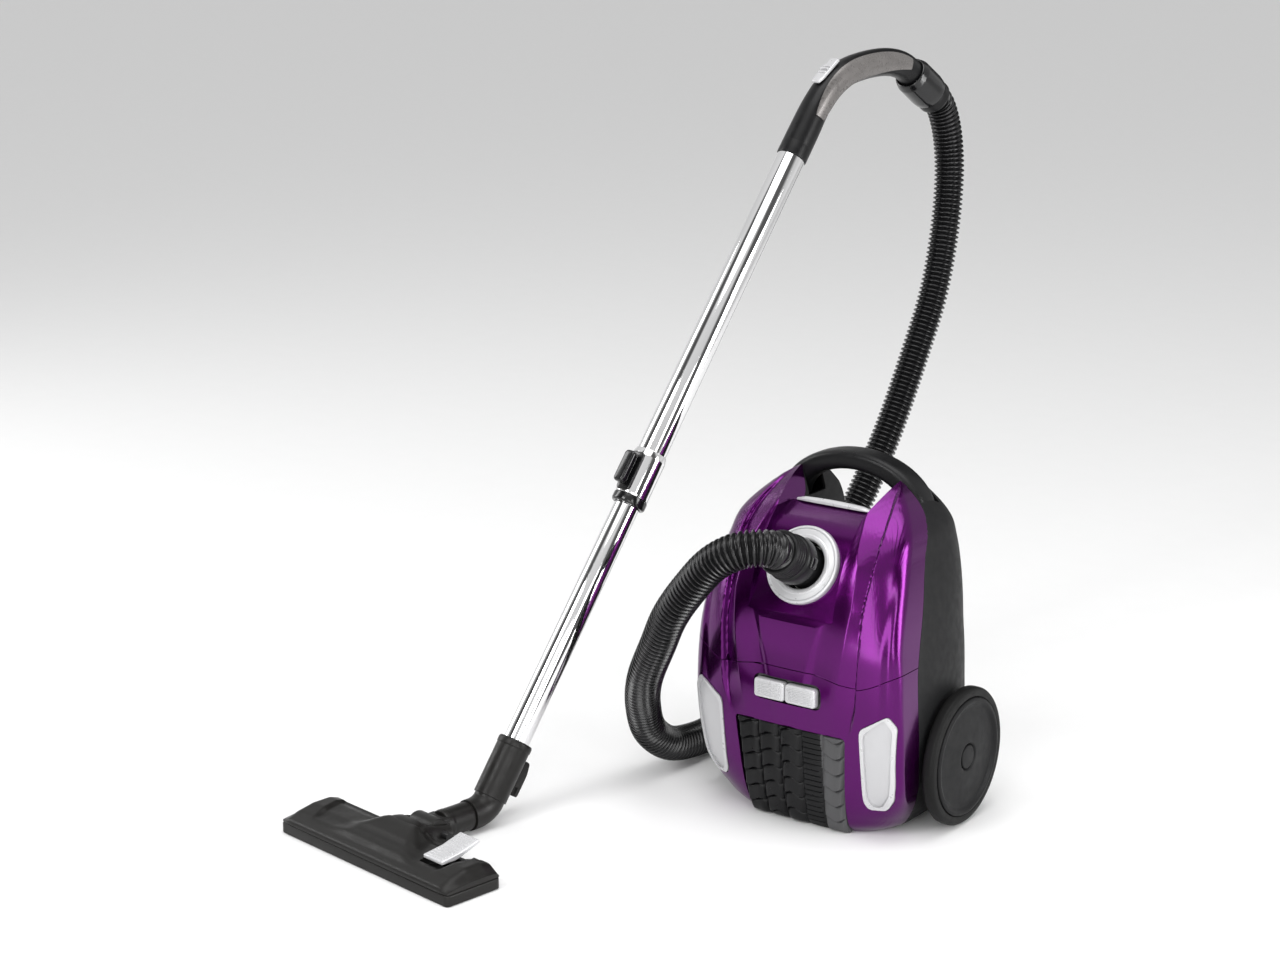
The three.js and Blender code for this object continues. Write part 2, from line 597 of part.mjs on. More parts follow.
function headShell() {
  const skin = prismX(HEAD_PROFILE, -HEAD_WIDTH / 2, HEAD_WIDTH / 2);
  const hump = prismX([[30, 10], [34, 32], [48, 38], [72, 37], [92, 29], [96, 10]], -34, 34);
  const hollow = prismX([[6, -1], [6, 14], [16, 21], [36, 26.5], [54, 26.5], [61, 20], [61, -1]],
    -HEAD_WIDTH / 2 + 4, HEAD_WIDTH / 2 - 4);
  const humpHollow = prismX([[30, -1], [36, 29], [50, 34], [62, 34], [62, 60], [99, 60], [99, -1]], -19, 19);
  const pedalBay = box(64, 96, 22, 80, 19, 60);
  const pinHole = alongX(disc(4 + GAP, -50, 50, 16)).translate(0, ...HINGE);
  return cut(join(skin, hump), hollow, humpHollow, pedalBay, pinHole);
}

function solePlate() {
  const plate = prismZ(roundedRect(-126, 126, 4, 64, 6), 0, 4);
  const slots = [[22, 40], [10, 15], [50, 55]].map(([y0, y1]) => box(-112, 112, y0, y1, -1, 6));
  return cut(plate, ...slots);
}

function headNeck() {
  const [y, z] = HINGE;
  const pipe = ring(12, 15, 0, 36).rotateX(-Math.PI / 2).translate(0, 101, ELBOW[1]);
  const trunnion = join(alongX(disc(14, -18, 18)).translate(0, y, z), box(-14, 14, y, 104, z - 9, z + 10));
  return cut(join(pipe, trunnion), alongX(disc(4.4, -30, 30, 16)).translate(0, y, z));
}

function elbowPiece() {
  const z = ELBOW[1];
  const route = [[0, 137.5, z], [0, 144, z], [0, 151.5, z + 0.8], [0, 158.5, z + 3.3], [0, 164.3, z + 7.3],
    [0, 166.8, z + 10.8]];
  return swept(route, 16, 12, 16, 5);
}

function brushPedal() {
  const profile = [[24, 24], [24, 29], [48, 31.5], [72, 38], [73, 34], [50, 26], [48, 22], [44, 22],
    [42, 25]];
  return prismX(profile, 66, 94);
}

function floorHead() {
  const group = new THREE.Group();
  const add = (name, geometry, material) => group.add(piece(name, geometry, material));
  add('head_shell', headShell(), BLACK);
  add('sole_plate', solePlate(), STEEL);
  add('brush_front', box(-110, 110, 10.6, 14.4, 1, 12), SOFT_BLACK);
  add('brush_rear', box(-110, 110, 50.6, 54.4, 1, 12), SOFT_BLACK);
  add('head_neck', headNeck(), BLACK);
  add('hinge_pin', alongX(disc(4, -34, 34, 16)).translate(0, ...HINGE), STEEL);
  add('neck_elbow', elbowPiece(), BLACK);
  add('brush_pedal', brushPedal(), SILVER);
  return group;
}

function cleaningTool() {
  const group = new THREE.Group();
  group.add(floorHead(), wandParts());
  group.add(piece('grip_tube', gripRoute(GRIP_RADIUS, 12), BLACK), piece('grip_collar', gripCollar(), BLACK));
  group.add(piece('grip_panel', gripPanel(), GUNMETAL), piece('suction_slider', suctionSlider(), SILVER));
  group.add(piece('hose_end_collar', hoseEndFrame(ring(12, 20, GAP, 12)), BLACK));
  group.position.set(...HEAD_ORIGIN);
  group.rotation.z = HEAD_TURN;
  return group;
}

const group = new THREE.Group();
group.add(canister(), hoseParts(), cleaningTool());

export default group;
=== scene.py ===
"""Looks of the canister vacuum cleaner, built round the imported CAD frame. Shapes are in millimetres
until their mesh is made, with +Z up and the canister's front towards -Y."""
from functools import cache
from math import asin, atan2, copysign, cos, exp, pi, radians, sin

import bmesh
import bpy
import numpy as np
from mathutils import Matrix, Vector


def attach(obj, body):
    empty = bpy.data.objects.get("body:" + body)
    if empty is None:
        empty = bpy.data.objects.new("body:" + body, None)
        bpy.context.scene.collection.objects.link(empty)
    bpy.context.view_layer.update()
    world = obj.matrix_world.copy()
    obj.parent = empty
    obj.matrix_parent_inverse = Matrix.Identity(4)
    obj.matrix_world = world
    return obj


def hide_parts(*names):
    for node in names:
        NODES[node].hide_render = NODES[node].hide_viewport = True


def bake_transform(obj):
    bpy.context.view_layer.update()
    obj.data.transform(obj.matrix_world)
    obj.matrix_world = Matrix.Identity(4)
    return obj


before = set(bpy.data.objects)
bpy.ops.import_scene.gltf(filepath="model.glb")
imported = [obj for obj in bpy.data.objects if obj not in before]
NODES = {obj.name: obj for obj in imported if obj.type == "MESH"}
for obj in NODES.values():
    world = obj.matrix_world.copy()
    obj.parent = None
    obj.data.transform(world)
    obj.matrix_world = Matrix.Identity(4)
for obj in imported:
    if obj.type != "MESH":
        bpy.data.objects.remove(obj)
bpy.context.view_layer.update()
MM = 0.001

# ---------------- driving dimensions, the same as in part.mjs
WALL = 2.8  # moulded shell thickness
FRONT_POWER = 2.6  # roundness of the front half of a canister section
REAR_POWER = 5.2  # roundness of the rear half
TOP = 357  # tips of the lid's two horns
# Canister sections: height, half width, nose y, y of the widest point, back y.
SECTIONS = [
    (0, 90, -87, -10, 60), (8, 100, -93, -28, 70), (22, 109, -98, -48, 76), (50, 119, -104, -74, 78),
    (80, 122.5, -108, -85, 78), (110, 124, -112, -90, 78), (150, 123, -117, -92, 78),
    (180, 121.5, -118, -91, 78), (205, 119, -118, -89.5, 78), (235, 116, -115, -80, 78),
    (262, 112, -108, -68, 77), (290, 106.5, -96, -56, 74), (315, 100, -76, -45, 66),
    (335, 85, -53, -25, 52), (350, 68, -26, -9, 39), (357, 57, -8, -1, 30),
]
# Line between the front covers and the rear shell: height, y.
SPLIT = [
    (0, -46), (54, -54), (101, -62), (146, -65), (182, -64), (208, -57), (247, -45), (285, -33),
    (313, -19), (331, -6), (357, -1),
]
# Lower edge of the lid: distance from the middle, height.
SEAM = [(0, 176), (32, 175.5), (54, 172), (77, 168), (95, 173), (112, 182), (130, 190)]
VALLEY = [(-120, 218), (-107.5, 241), (-68.5, 313)]  # dished middle of the lid (y, z)
ROOF_FRONT = (-32, 326)  # front edge (y, z) of the bag bay's sloping roof
ROOF_SLOPE = 0.5  # drop of that roof per mm going back
WINDOW_HALF = 50  # half width of the handle window at the roof
WINDOW_FLARE = 12  # extra half width at the horn tips
HANDLE_Z = 317  # centre of the handle's arch
HANDLE_OUTER = (88, 60)
HANDLE_INNER = (62, 39)
HANDLE_CUT = 323  # height of the arch's feet
HANDLE_Y = (-0.5, 31)
INLET = (0, -88, 277)
INLET_TILT = atan2(0.475, 0.88)
PEDAL_FACE = -122
GRILLE_TOP = 112
WHEEL = {"radius": 72.5, "y": 8, "z": 74, "x": 127, "width": 16}
CASTER = {"z": 240, "skin": 77.4, "depth": 28, "pocket": 31}
HEAD_ORIGIN = (-285, -443.2, 0)  # middle of the floor head's front edge
HEAD_TURN = radians(-9.77)  # heading of head and wand
HEAD_HALF = 130
HINGE = (0, 84, 19)  # tilt hinge of the neck, in the head's frame
ELBOW = (0, 159, 17.2)  # foot of the wand, in the head's frame
WAND_LEAN = atan2(0.585, 0.811)  # wand axis from the vertical
SOCKET = 64  # stations along the wand
COLLAR = 385
UPPER_END = 788
HOSE_END = (0, 843, 697)
HOSE_END_DIR = (0.82, -0.572)
HOSE_ROUTE = [
    (0, -136.8, 303.4), (0, -142, 306.2), (-8, -153, 309), (-27, -164, 306), (-54, -169, 290),
    (-83, -168, 259), (-111, -163, 223), (-135, -151, 184), (-167, -130, 134), (-188, -104, 93),
    (-199, -76, 54), (-198, -42, 29), (-195, 2, 20.5), (-194, 52, 20.5), (-190, 105, 33),
    (-182, 160, 72), (-171, 213, 138), (-162, 255, 205), (-153, 290, 260), (-147, 327, 318),
    (-141, 368, 395), (-135, 398, 465), (-133, 417, 540), (-134, 425, 600), (-135.5, 424, 632),
    (-136.5, 419, 655), (-138, 411, 675), (-139.2, 403.8, 685.6), (-140.2, 397.8, 689.9),
]

# ---------------- dimensions that only the looks have
SEAM_GAP = 0.9  # dark line under the lid
ROOF_START = 300  # above it the wall leans back,
ROOF_LEAN = 1.7  # so it is this much deeper along a level
PEDAL_Z = (140.5, 160.5)
PEDAL_HALF = 36.5
GRILLE_HALF = (59, 66)  # half width of the grille at its foot and at its top
LOUVRE_PITCH = 18
LOUVRE_COLUMNS = 5
FINE_COLUMN = 3
GREY_FROM = 0.62  # share of the grille's half width where its grey strip begins
HOSE_PITCH = 5.4
HOSE_RIB = [19.1, 19.1, 18.8, 17.4, 15.9, 15.6, 16.2, 18.2]  # radii along one rib
HOSE_SLIM = 0.1  # how much thinner the hose is near the grip
GRIP_ROUTE = [
    (0, 620.4, 656.8), (0, 631.5, 672), (0, 650, 697), (0, 669, 716), (0, 696, 730), (0, 738, 737),
    (0, 772, 736.5), (0, 795.4, 730.2), (0, 818.4, 714.2), (0, 841.4, 698.1),
]
# Top of the floor head's section (y, z) before its ends and its middle are shaped.
HEAD_PROFILE = [(-1.5, 12.4), (-1.5, 15.6), (0.2, 17.4), (14, 23.6), (32, 27.4), (52, 27.6), (63, 24),
                (67.5, 17), (67.5, 12)]
# Style lines of the lid on its right half: height, distance from the middle.
CREASE = [(120, 14), (185, 27), (225, 37), (256, 44), (300, 46), (357, 40)]
RIDGE = [(120, 52), (170, 60), (211, 65), (247, 69), (288, 66), (302, 61), (318, 57), (334, 52), (357, 46)]
GROOVE = [(100, 63), (124, 71), (147, 75.5), (172, 76.5), (213, 78), (245, 77.5), (275, 79), (298, 78),
          (318, 76), (332, 72), (348, 65), (357, 60)]

# ---------------- camera and studio, in metres
CAMERA = (1.339, -2.211, 1.037)
BACKWARD = (0.5678, -0.7814, 0.2588)
LENS = 73.125
# Brightness of the reflected room, round the compass and from the floor up.
WALLS = [(0, 1), (0.08, 1), (0.12, 0.12), (0.19, 0.12), (0.23, 1), (0.41, 1), (0.44, 0.15), (0.5, 0.15),
         (0.54, 1), (0.71, 1), (0.74, 0.12), (0.81, 0.12), (0.86, 1), (1, 1)]
RISE = [(0, 1), (0.3, 0.8), (0.7, 0.9), (1, 1)]
BACKDROP = (0.62, 0.62, 0.62, 1)
# Soft lights: name, place, target, size, power.
LIGHTS = [
    ("key light", (-0.7, -2.7, 2.0), (0, 0, 0.25), (1.0, 1.3), 34),
    ("side light", (2.4, 0.25, 0.8), (0, 0, 0.3), (0.9, 1.5), 30),
    ("strip light", (2.1, -1.5, 0.85), (0, 0, 0.25), (0.4, 1.5), 12),
    ("low front light", (0.34, -1.01, 0.4), (0.08, -0.1, 0.3), (0.34, 0.8), 3.6),
    ("low side light", (0.98, 0.12, 0.36), (0.1, -0.05, 0.3), (0.26, 0.7), 1.8),
    ("top light", (0.2, 0.0, 3.0), (0, 0, 0.2), (1.8, 1.8), 26),
    ("left light", (-2.6, -0.6, 1.3), (-0.1, 0, 0.4), (0.7, 2.0), 22),
]

shift = Matrix.Translation


def turn(angle, axis):
    return Matrix.Rotation(angle, 4, axis)


# Turns an outline in XY so that it stands in XZ, or in YZ with X as its thickness.
UPRIGHT = turn(pi / 2, "X")
SIDEWAYS = Matrix(((0, 0, 1, 0), (1, 0, 0, 0), (0, 1, 0, 0), (0, 0, 0, 1)))


# ---------------- mesh tools
def link(name, data):
    """A new object for a mesh, a light or the camera."""
    obj = bpy.data.objects.new(name, data)
    bpy.context.scene.collection.objects.link(obj)
    return obj


def shade(obj, angle=32):
    """Smooth shading that stays crisp at real edges."""
    mesh = obj.data
    mesh.shade_smooth()
    mesh.set_sharp_from_angle(angle=radians(angle))
    return obj


def solid(name, points, faces, matrix=None, angle=32):
    """A mesh object from points in millimetres, with its normals outward."""
    mesh = bpy.data.meshes.new(name)
    place = matrix or Matrix.Identity(4)
    mesh.from_pydata([tuple((place @ Vector(p)) * MM) for p in points], [], faces)
    tidy = bmesh.new()
    tidy.from_mesh(mesh)
    bmesh.ops.remove_doubles(tidy, verts=tidy.verts, dist=1e-7)
    bmesh.ops.recalc_face_normals(tidy, faces=tidy.faces)
    tidy.to_mesh(mesh)
    tidy.free()
    return shade(link(name, mesh), angle)


def skin(name, rings, matrix=None, angle=32):
    """A closed skin through rings that all have the same number of points."""
    count = len(rings[0])
    points = [p for ring in rings for p in ring]
    faces = []
    for low in range(0, len(points) - count, count):
        high = low + count
        for i in range(count):
            j = (i + 1) % count
            faces.append((low + i, low + j, high + j, high + i))
    faces.append(tuple(range(count))[::-1])
    faces.append(tuple(range(len(points) - count, len(points))))
    return solid(name, points, faces, matrix, angle)


def soften(points, radius, steps=4, closed=True):
    """The same outline with each corner rounded, except the ends of an open one."""
    count = len(points)
    out = []
    for i, corner in enumerate(points):
        if not closed and i in (0, count - 1):
            out.append(tuple(corner))
            continue
        here = np.array(corner, float)
        before = np.array(points[i - 1], float) - here
        after = np.array(points[(i + 1) % count], float) - here
        reach = min(radius, 0.48 * np.linalg.norm(before), 0.48 * np.linalg.norm(after))
        start = here + before / np.linalg.norm(before) * reach
        end = here + after / np.linalg.norm(after) * reach
        for k in range(steps + 1):
            t = k / steps
            out.append(tuple((1 - t) ** 2 * start + 2 * t * (1 - t) * here + t * t * end))
    return out


def turned(name, profile, matrix=None, segments=64, closed=True):
    """A body of revolution about Z; profile points are (radius, height)."""
    points = [(r * c, r * s, z) for c, s in disc_points(1, segments) for r, z in profile]
    count = len(profile)
    faces = []
    last = count if closed else count - 1
    for k in range(segments):
        a, b = k * count, (k + 1) % segments * count
        for i in range(last):
            j = (i + 1) % count
            faces.append((a + i, b + i, b + j, a + j))
    return solid(name, points, faces, matrix)


def inset(outline, depth):
    """A closed outline moved inward along its own normals."""
    count = len(outline)
    area = sum(a[0] * b[1] - b[0] * a[1] for a, b in zip(outline, outline[1:] + outline[:1]))
    side = 1 if area > 0 else -1
    out = []
    for i in range(count):
        here = np.array(outline[i], float)
        before = here - np.array(outline[i - 1], float)
        after = np.array(outline[(i + 1) % count], float) - here
        first, second = [np.array([-edge[1], edge[0]]) / np.linalg.norm(edge) for edge in (before, after)]
        mitre = first + second
        mitre = mitre / max(0.35, float(mitre @ first))
        out.append(tuple(here + side * depth * mitre))
    return out


def plate(name, outline, low, high, bevel=1.0, matrix=None):
    """An upright prism of an outline in XY with rounded top and bottom edges."""
    turns = [(bevel * (1 - sin(a)), bevel * (1 - cos(a))) for a in (0, pi / 6, pi / 3, pi / 2)]
    levels = [(side, low + rise) for side, rise in turns]
    levels += [(side, high - rise) for side, rise in reversed(turns)]
    return skin(name, [[(u, v, z) for u, v in inset(outline, depth)] for depth, z in levels], matrix)


def rib(u0, u1, v0, v1, radius, *rest):
    """A rectangular rib; the rest is its low, high, bevel and matrix."""
    return plate("rib", rectangle(u0, u1, v0, v1, radius, 3), *rest)


def rectangle(u0, u1, v0, v1, radius=0, steps=4):
    """The outline of a rectangle, with round corners where it has a radius."""
    corners = [(u0, v0), (u1, v0), (u1, v1), (u0, v1)]
    return soften(corners, radius, steps) if radius else corners


def along(path, section, name, matrix=None, up=(0, 0, 1), angle=32):
    """Sweeps section(i) -> list of (sideways, upward) points along a path, without twisting it."""
    pts = [Vector(p) for p in path]
    tangents = [(pts[min(i + 1, len(pts) - 1)] - pts[max(i - 1, 0)]).normalized() for i in range(len(pts))]
    normal = Vector(up)
    rings = []
    for i, point in enumerate(pts):
        normal = (normal - tangents[i] * normal.dot(tangents[i])).normalized()
        side = tangents[i].cross(normal)
        rings.append([tuple(point + side * u + normal * v) for u, v in section(i)])
    return skin(name, rings, matrix, angle)


def disc_points(radius, sides):
    return [(radius * cos(2 * pi * k / sides), radius * sin(2 * pi * k / sides)) for k in range(sides)]


def carve(obj, *cutters, how="DIFFERENCE"):
    """Cuts, joins or crosses a solid with others and removes them."""
    for cutter in cutters:
        modifier = obj.modifiers.new("carve", "BOOLEAN")
        modifier.operation = how
        modifier.solver = "MANIFOLD"
        modifier.object = cutter
        bpy.context.view_layer.update()
        done = bpy.data.meshes.new_from_object(obj.evaluated_get(bpy.context.evaluated_depsgraph_get()))
        obj.modifiers.remove(modifier)
        obj.data = done
        bpy.data.objects.remove(cutter)
    tidy = bmesh.new()
    tidy.from_mesh(obj.data)
    bmesh.ops.remove_doubles(tidy, verts=tidy.verts, dist=2e-6)
    bmesh.ops.dissolve_degenerate(tidy, edges=tidy.edges, dist=1e-6)
    tidy.to_mesh(obj.data)
    tidy.free()
    return shade(obj)


def merge(name, objs):
    """Several objects made into one mesh."""
    joined = bmesh.new()
    for obj in objs:
        joined.from_mesh(obj.data)
        bpy.data.objects.remove(obj)
    mesh = bpy.data.meshes.new(name)
    joined.to_mesh(mesh)
    joined.free()
    return shade(link(name, mesh))


def smoothstep(low, high, value):
    t = min(max((value - low) / (high - low), 0.0), 1.0)
    return t * t * (3 - 2 * t)


def rounded(value, power):
    """A power that keeps the sign, for outlines between an ellipse and a square."""
    return copysign(abs(value) ** power, value)


def hermite(t, start, leaving, end, arriving):
    """A cubic from start to end with the slopes that it leaves and arrives with."""
    return ((2 * t ** 3 - 3 * t ** 2 + 1) * start + (t ** 3 - 2 * t ** 2 + t) * leaving
            + (3 * t ** 2 - 2 * t ** 3) * end + (t ** 3 - t ** 2) * arriving)


def line_at(table, z):
    """The value at a height on straight lines between the rows of a table."""
    return float(np.interp(z, [row[0] for row in table], [row[1] for row in table]))


# ---------------- materials
def add(tree, kind, **sockets):
    """A shader node with some sockets set; an underscore in a socket's name stands for a space."""
    node = tree.nodes.new("ShaderNode" + kind)
    for socket, value in sockets.items():
        node.inputs[socket.replace("_", " ")].default_value = value
    return node


def wire(tree, source, output, target, socket):
    tree.links.new(source.outputs[output], target.inputs[socket])


def noise(tree, place, scale, detail=3.0):
    node = add(tree, "TexNoise", Scale=scale, Detail=detail)
    wire(tree, place, "Object", node, "Vector")
    return node


def remap(tree, source, output, low, high, start=0.3, end=0.7):
    node = add(tree, "MapRange", From_Min=start, From_Max=end, To_Min=low, To_Max=high)
    wire(tree, source, output, node, "Value")
    return node


def mixed(tree, source, output, first, second):
    """A colour between two, by the value of another node."""
    node = add(tree, "Mix")
    node.data_type = "RGBA"
    node.inputs["A"].default_value = (*first, 1)
    node.inputs["B"].default_value = (*second, 1)
    wire(tree, source, output, node, "Factor")
    return node


def finish(name, color, rough, metal=0.0, coat=0.0, grain=1500.0, depth=0.04, vary=0.06, tint=0.12,
           cloud=25.0, wear=0.0, specular=0.5):
    """A moulded, rubber or metal finish: clouded colour and gloss, a fine grain and paler worn edges."""
    material = bpy.data.materials.new(name)
    material.use_nodes = True
    tree = material.node_tree
    shader = tree.nodes["Principled BSDF"]
    shader.inputs["Metallic"].default_value = metal
    shader.inputs["Coat Weight"].default_value = coat
    shader.inputs["Coat Roughness"].default_value = 0.12
    shader.inputs["Specular IOR Level"].default_value = specular
    place = add(tree, "TexCoord")
    base = mixed(tree, noise(tree, place, cloud), "Fac", [c * (1 - tint) for c in color],
                 [min(1.0, c * (1 + tint)) for c in color])
    if wear:
        edge = remap(tree, add(tree, "NewGeometry"), "Pointiness", 0, wear, 0.53, 0.65)
        worn = mixed(tree, edge, "Result", color, [min(1.0, c * 2.2 + 0.02) for c in color])
        wire(tree, base, "Result", worn, "A")
        base = worn
    wire(tree, base, "Result", shader, "Base Color")
    patches = noise(tree, place, cloud * 4)
    gloss = remap(tree, patches, "Fac", max(0.02, rough - vary), min(1.0, rough + vary))
    wire(tree, gloss, "Result", shader, "Roughness")
    bump = add(tree, "Bump", Strength=depth, Distance=0.0004)
    wire(tree, noise(tree, place, grain, 2.0), "Fac", bump, "Height")
    wire(tree, bump, "Normal", shader, "Normal")
    return material


PURPLE = finish("purple gloss", (0.088, 0.0012, 0.104), 0.22, metal=0.93, coat=0.3, grain=2600, depth=0.02,
                vary=0.03, tint=0.06, cloud=9, specular=0.3)
PAN = finish("charcoal moulding", (0.008, 0.008, 0.0085), 0.48, grain=1700, depth=0.2, vary=0.06, wear=0.2,
             specular=0.12)
BLACK = finish("black moulding", (0.006, 0.006, 0.0065), 0.34, grain=1500, depth=0.1, vary=0.07, wear=0.25,
               specular=0.2)
HEAD_BLACK = finish("floor head moulding", (0.008, 0.0075, 0.007), 0.36, grain=1300, depth=0.18, vary=0.08,
                    wear=0.6, specular=0.22)
SHINY_BLACK = finish("polished black", (0.005, 0.005, 0.0055), 0.15, coat=0.2, grain=900, depth=0.03,
                     specular=0.4)
HOSE_BLACK = finish("hose plastic", (0.005, 0.005, 0.0055), 0.2, grain=1200, depth=0.05, vary=0.06,
                    specular=0.36)
TREAD = finish("tyre rubber", (0.007, 0.007, 0.007), 0.5, grain=1100, depth=0.2, wear=0.2, specular=0.12)
SILVER = finish("silver moulding", (0.52, 0.52, 0.53), 0.32, metal=0.3, grain=1800, depth=0.05, tint=0.05)
SATIN = finish("satin grey moulding", (0.46, 0.46, 0.47), 0.4, metal=0.25, grain=1600, depth=0.1, tint=0.06)
GREY = finish("grey moulding", (0.06, 0.06, 0.062), 0.5, grain=1500, depth=0.2, specular=0.3)
GUNMETAL = finish("gunmetal lacquer", (0.17, 0.16, 0.155), 0.3, metal=0.55, grain=2400, depth=0.015,
                  tint=0.25, cloud=60)
CHROME = finish("chrome plate", (0.86, 0.86, 0.865), 0.06, metal=1.0, grain=420, depth=0.012, vary=0.02,
                tint=0.03, cloud=14)
STEEL = finish("plain steel", (0.5, 0.51, 0.52), 0.34, metal=1.0, grain=900, depth=0.12)
RUBBER = finish("black rubber", (0.009, 0.009, 0.009), 0.6, grain=1100, depth=0.3, wear=0.2, specular=0.25)
WHITE = finish("off-white moulding", (0.75, 0.74, 0.71), 0.55, grain=1500, depth=0.1)
CLOTH = finish("filter fleece", (0.78, 0.78, 0.75), 0.95, grain=700, depth=0.9, tint=0.1, specular=0.2)
PAPER = finish("bag paper", (0.55, 0.42, 0.26), 0.9, grain=500, depth=0.6, tint=0.12, specular=0.2)
BOARD = finish("circuit board", (0.015, 0.12, 0.05), 0.4, grain=600, depth=0.3)
FLOOR = finish("pale floor", (0.76, 0.76, 0.76), 0.9, grain=300, depth=0.02, tint=0.01, specular=0.1)


def paint(obj, material):
    obj.data.materials.clear()
    obj.data.materials.append(material)
    return obj


def settle(obj, material, body, *nodes):
    """Gives a new piece its material and slot and its body, and hides the CAD nodes that it stands for."""
    paint(obj, material)
    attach(obj, body)
    if nodes:
        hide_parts(*nodes)
    return obj


# ---------------- camera, light and floor
def camera():
    data = bpy.data.cameras.new("camera")
    data.sensor_width = 36
    data.lens = LENS
    obj = link("camera", data)
    obj.location = CAMERA
    obj.rotation_euler = Vector(BACKWARD).to_track_quat("Z", "Y").to_euler()
    bpy.context.scene.camera = obj


def softbox(name, place, target, size, power):
    data = bpy.data.lights.new(name, "AREA")
    data.shape = "RECTANGLE"
    data.size, data.size_y = size
    data.energy = power
    obj = link(name, data)
    obj.location = place
    toward = Vector(target) - Vector(place)
    obj.rotation_euler = toward.to_track_quat("-Z", "Y").to_euler()
    obj.visible_camera = False


def bands(tree, stops):
    """A grey ramp with its stops as (position, value)."""
    ramp = tree.nodes.new("ShaderNodeValToRGB")
    elements = ramp.color_ramp.elements
    while len(elements) > 1:
        elements.remove(elements[-1])
    elements[0].position = stops[0][0]
    elements[0].color = (*[stops[0][1]] * 3, 1)
    for position, value in stops[1:]:
        elements.new(position).color = (*[value] * 3, 1)
    return ramp


def room():
    """A plain pale backdrop, and for reflections a room whose dark gaps give the chrome its stripes."""
    bpy.context.scene.view_settings.view_transform = "Standard"
    world = bpy.data.worlds.new("studio")
    bpy.context.scene.world = world
    world.use_nodes = True
    tree = world.node_tree
    background = tree.nodes["Background"]
    split = add(tree, "SeparateXYZ")
    around = add(tree, "Math")
    around.operation = "ARCTAN2"
    both = add(tree, "Mix")
    both.data_type = "RGBA"
    both.blend_type = "MULTIPLY"
    both.inputs["Factor"].default_value = 1
    walls, rise = bands(tree, WALLS), bands(tree, RISE)
    wire(tree, add(tree, "TexCoord"), "Generated", split, "Vector")
    tree.links.new(split.outputs["Y"], around.inputs[0])
    tree.links.new(split.outputs["X"], around.inputs[1])
    wire(tree, remap(tree, around, "Value", 0, 1, -pi, pi), "Result", walls, "Fac")
    wire(tree, split, "Z", rise, "Fac")
    wire(tree, walls, "Color", both, "A")
    wire(tree, rise, "Color", both, "B")
    wire(tree, both, "Result", background, "Color")
    background.inputs["Strength"].default_value = 0.8
    backdrop = add(tree, "Background", Color=BACKDROP)
    seen = add(tree, "MixShader")
    wire(tree, add(tree, "LightPath"), "Is Camera Ray", seen, "Fac")
    tree.links.new(background.outputs["Background"], seen.inputs[1])
    tree.links.new(backdrop.outputs["Background"], seen.inputs[2])
    wire(tree, seen, "Shader", tree.nodes["World Output"], "Surface")


def lights():
    for light in LIGHTS:
        softbox(*light)
    data = bpy.data.lights.new("sky light", "SUN")
    data.energy = 0.8
    data.angle = radians(50)
    link("sky light", data).rotation_euler = (radians(14), radians(10), 0)


def floor():
    size = 60000
    obj = solid("floor", [(-size, -size, 0), (size, -size, 0), (size, size, 0), (-size, size, 0)],
                [(0, 1, 2, 3)])
    obj.location.z = -0.0002
    paint(obj, FLOOR)


# ---------------- canister surfaces
def eased(table):
    """A smooth curve through rows of (position, value, value, ...)."""
    rows = np.array(table, float)
    at, values = rows[:, 0], rows[:, 1:]
    slopes = np.gradient(values, at, axis=0)

    def value(z):
        i = int(np.clip(np.searchsorted(at, z) - 1, 0, len(at) - 2))
        span = at[i + 1] - at[i]
        t = min(max((z - at[i]) / span, 0.0), 1.0)
        return hermite(t, values[i], span * slopes[i], values[i + 1], span * slopes[i + 1])
    return value


section_at = eased(SECTIONS)
split_at = eased(SPLIT)
seam_right = eased(SEAM)


def seam_at(x):
    return float(seam_right(min(abs(x), 129))[0])


def sculpt(x, z):
    """How far the style lines sink the front face at a point, inward."""
    side = abs(x)
    crease, ridge, groove = line_at(CREASE, z), line_at(RIDGE, z), line_at(GROOVE, z)
    low = smoothstep(104, 172, z)
    high = 1 - 0.5 * smoothstep(330, 357, z)
    sink = 1.6 * smoothstep(crease - 3, crease + 5, side) * (1 - smoothstep(crease + 6, ridge, side))
    if side > ridge:
        fall = min(1.0, (side - ridge) / (groove - ridge))
        sink += 5.4 * fall ** 0.9 * (1 - smoothstep(groove, groove + 4.5, side))
        second = smoothstep(groove, groove + 4.5, side) * (1 - smoothstep(101, 112, side))
        sink += second * (-0.9 + 3.4 * max(0.0, (side - groove - 4.5) / (101 - groove)))
    return sink * low * high


@cache
def ring_part(z, depth, front, count, reach=0.0):
    """One level of the canister, from the lid's split line round the front or round the back."""
    half, nose, widest, back = section_at(z)
    cut = float(split_at(z)[0]) + reach
    sink = depth * (ROOF_LEAN if z > ROOF_START else 1)
    behind, ahead = back - sink - widest, widest - nose - sink
    if cut >= widest:
        start = asin(min(1.0, ((cut - widest) / behind) ** (REAR_POWER / 2)))
    else:
        start = -asin(min(1.0, ((widest - cut) / ahead) ** (FRONT_POWER / 2)))
    out = []
    for a in np.linspace(start, (-pi if front else pi) - start, count):
        c, s = cos(a), sin(a)
        power = REAR_POWER if s >= 0 else FRONT_POWER
        length = behind if s >= 0 else ahead
        x = (half - sink) * rounded(c, 2 / power)
        y = widest + length * rounded(s, 2 / power)
        out.append((x, y, z))
    return out


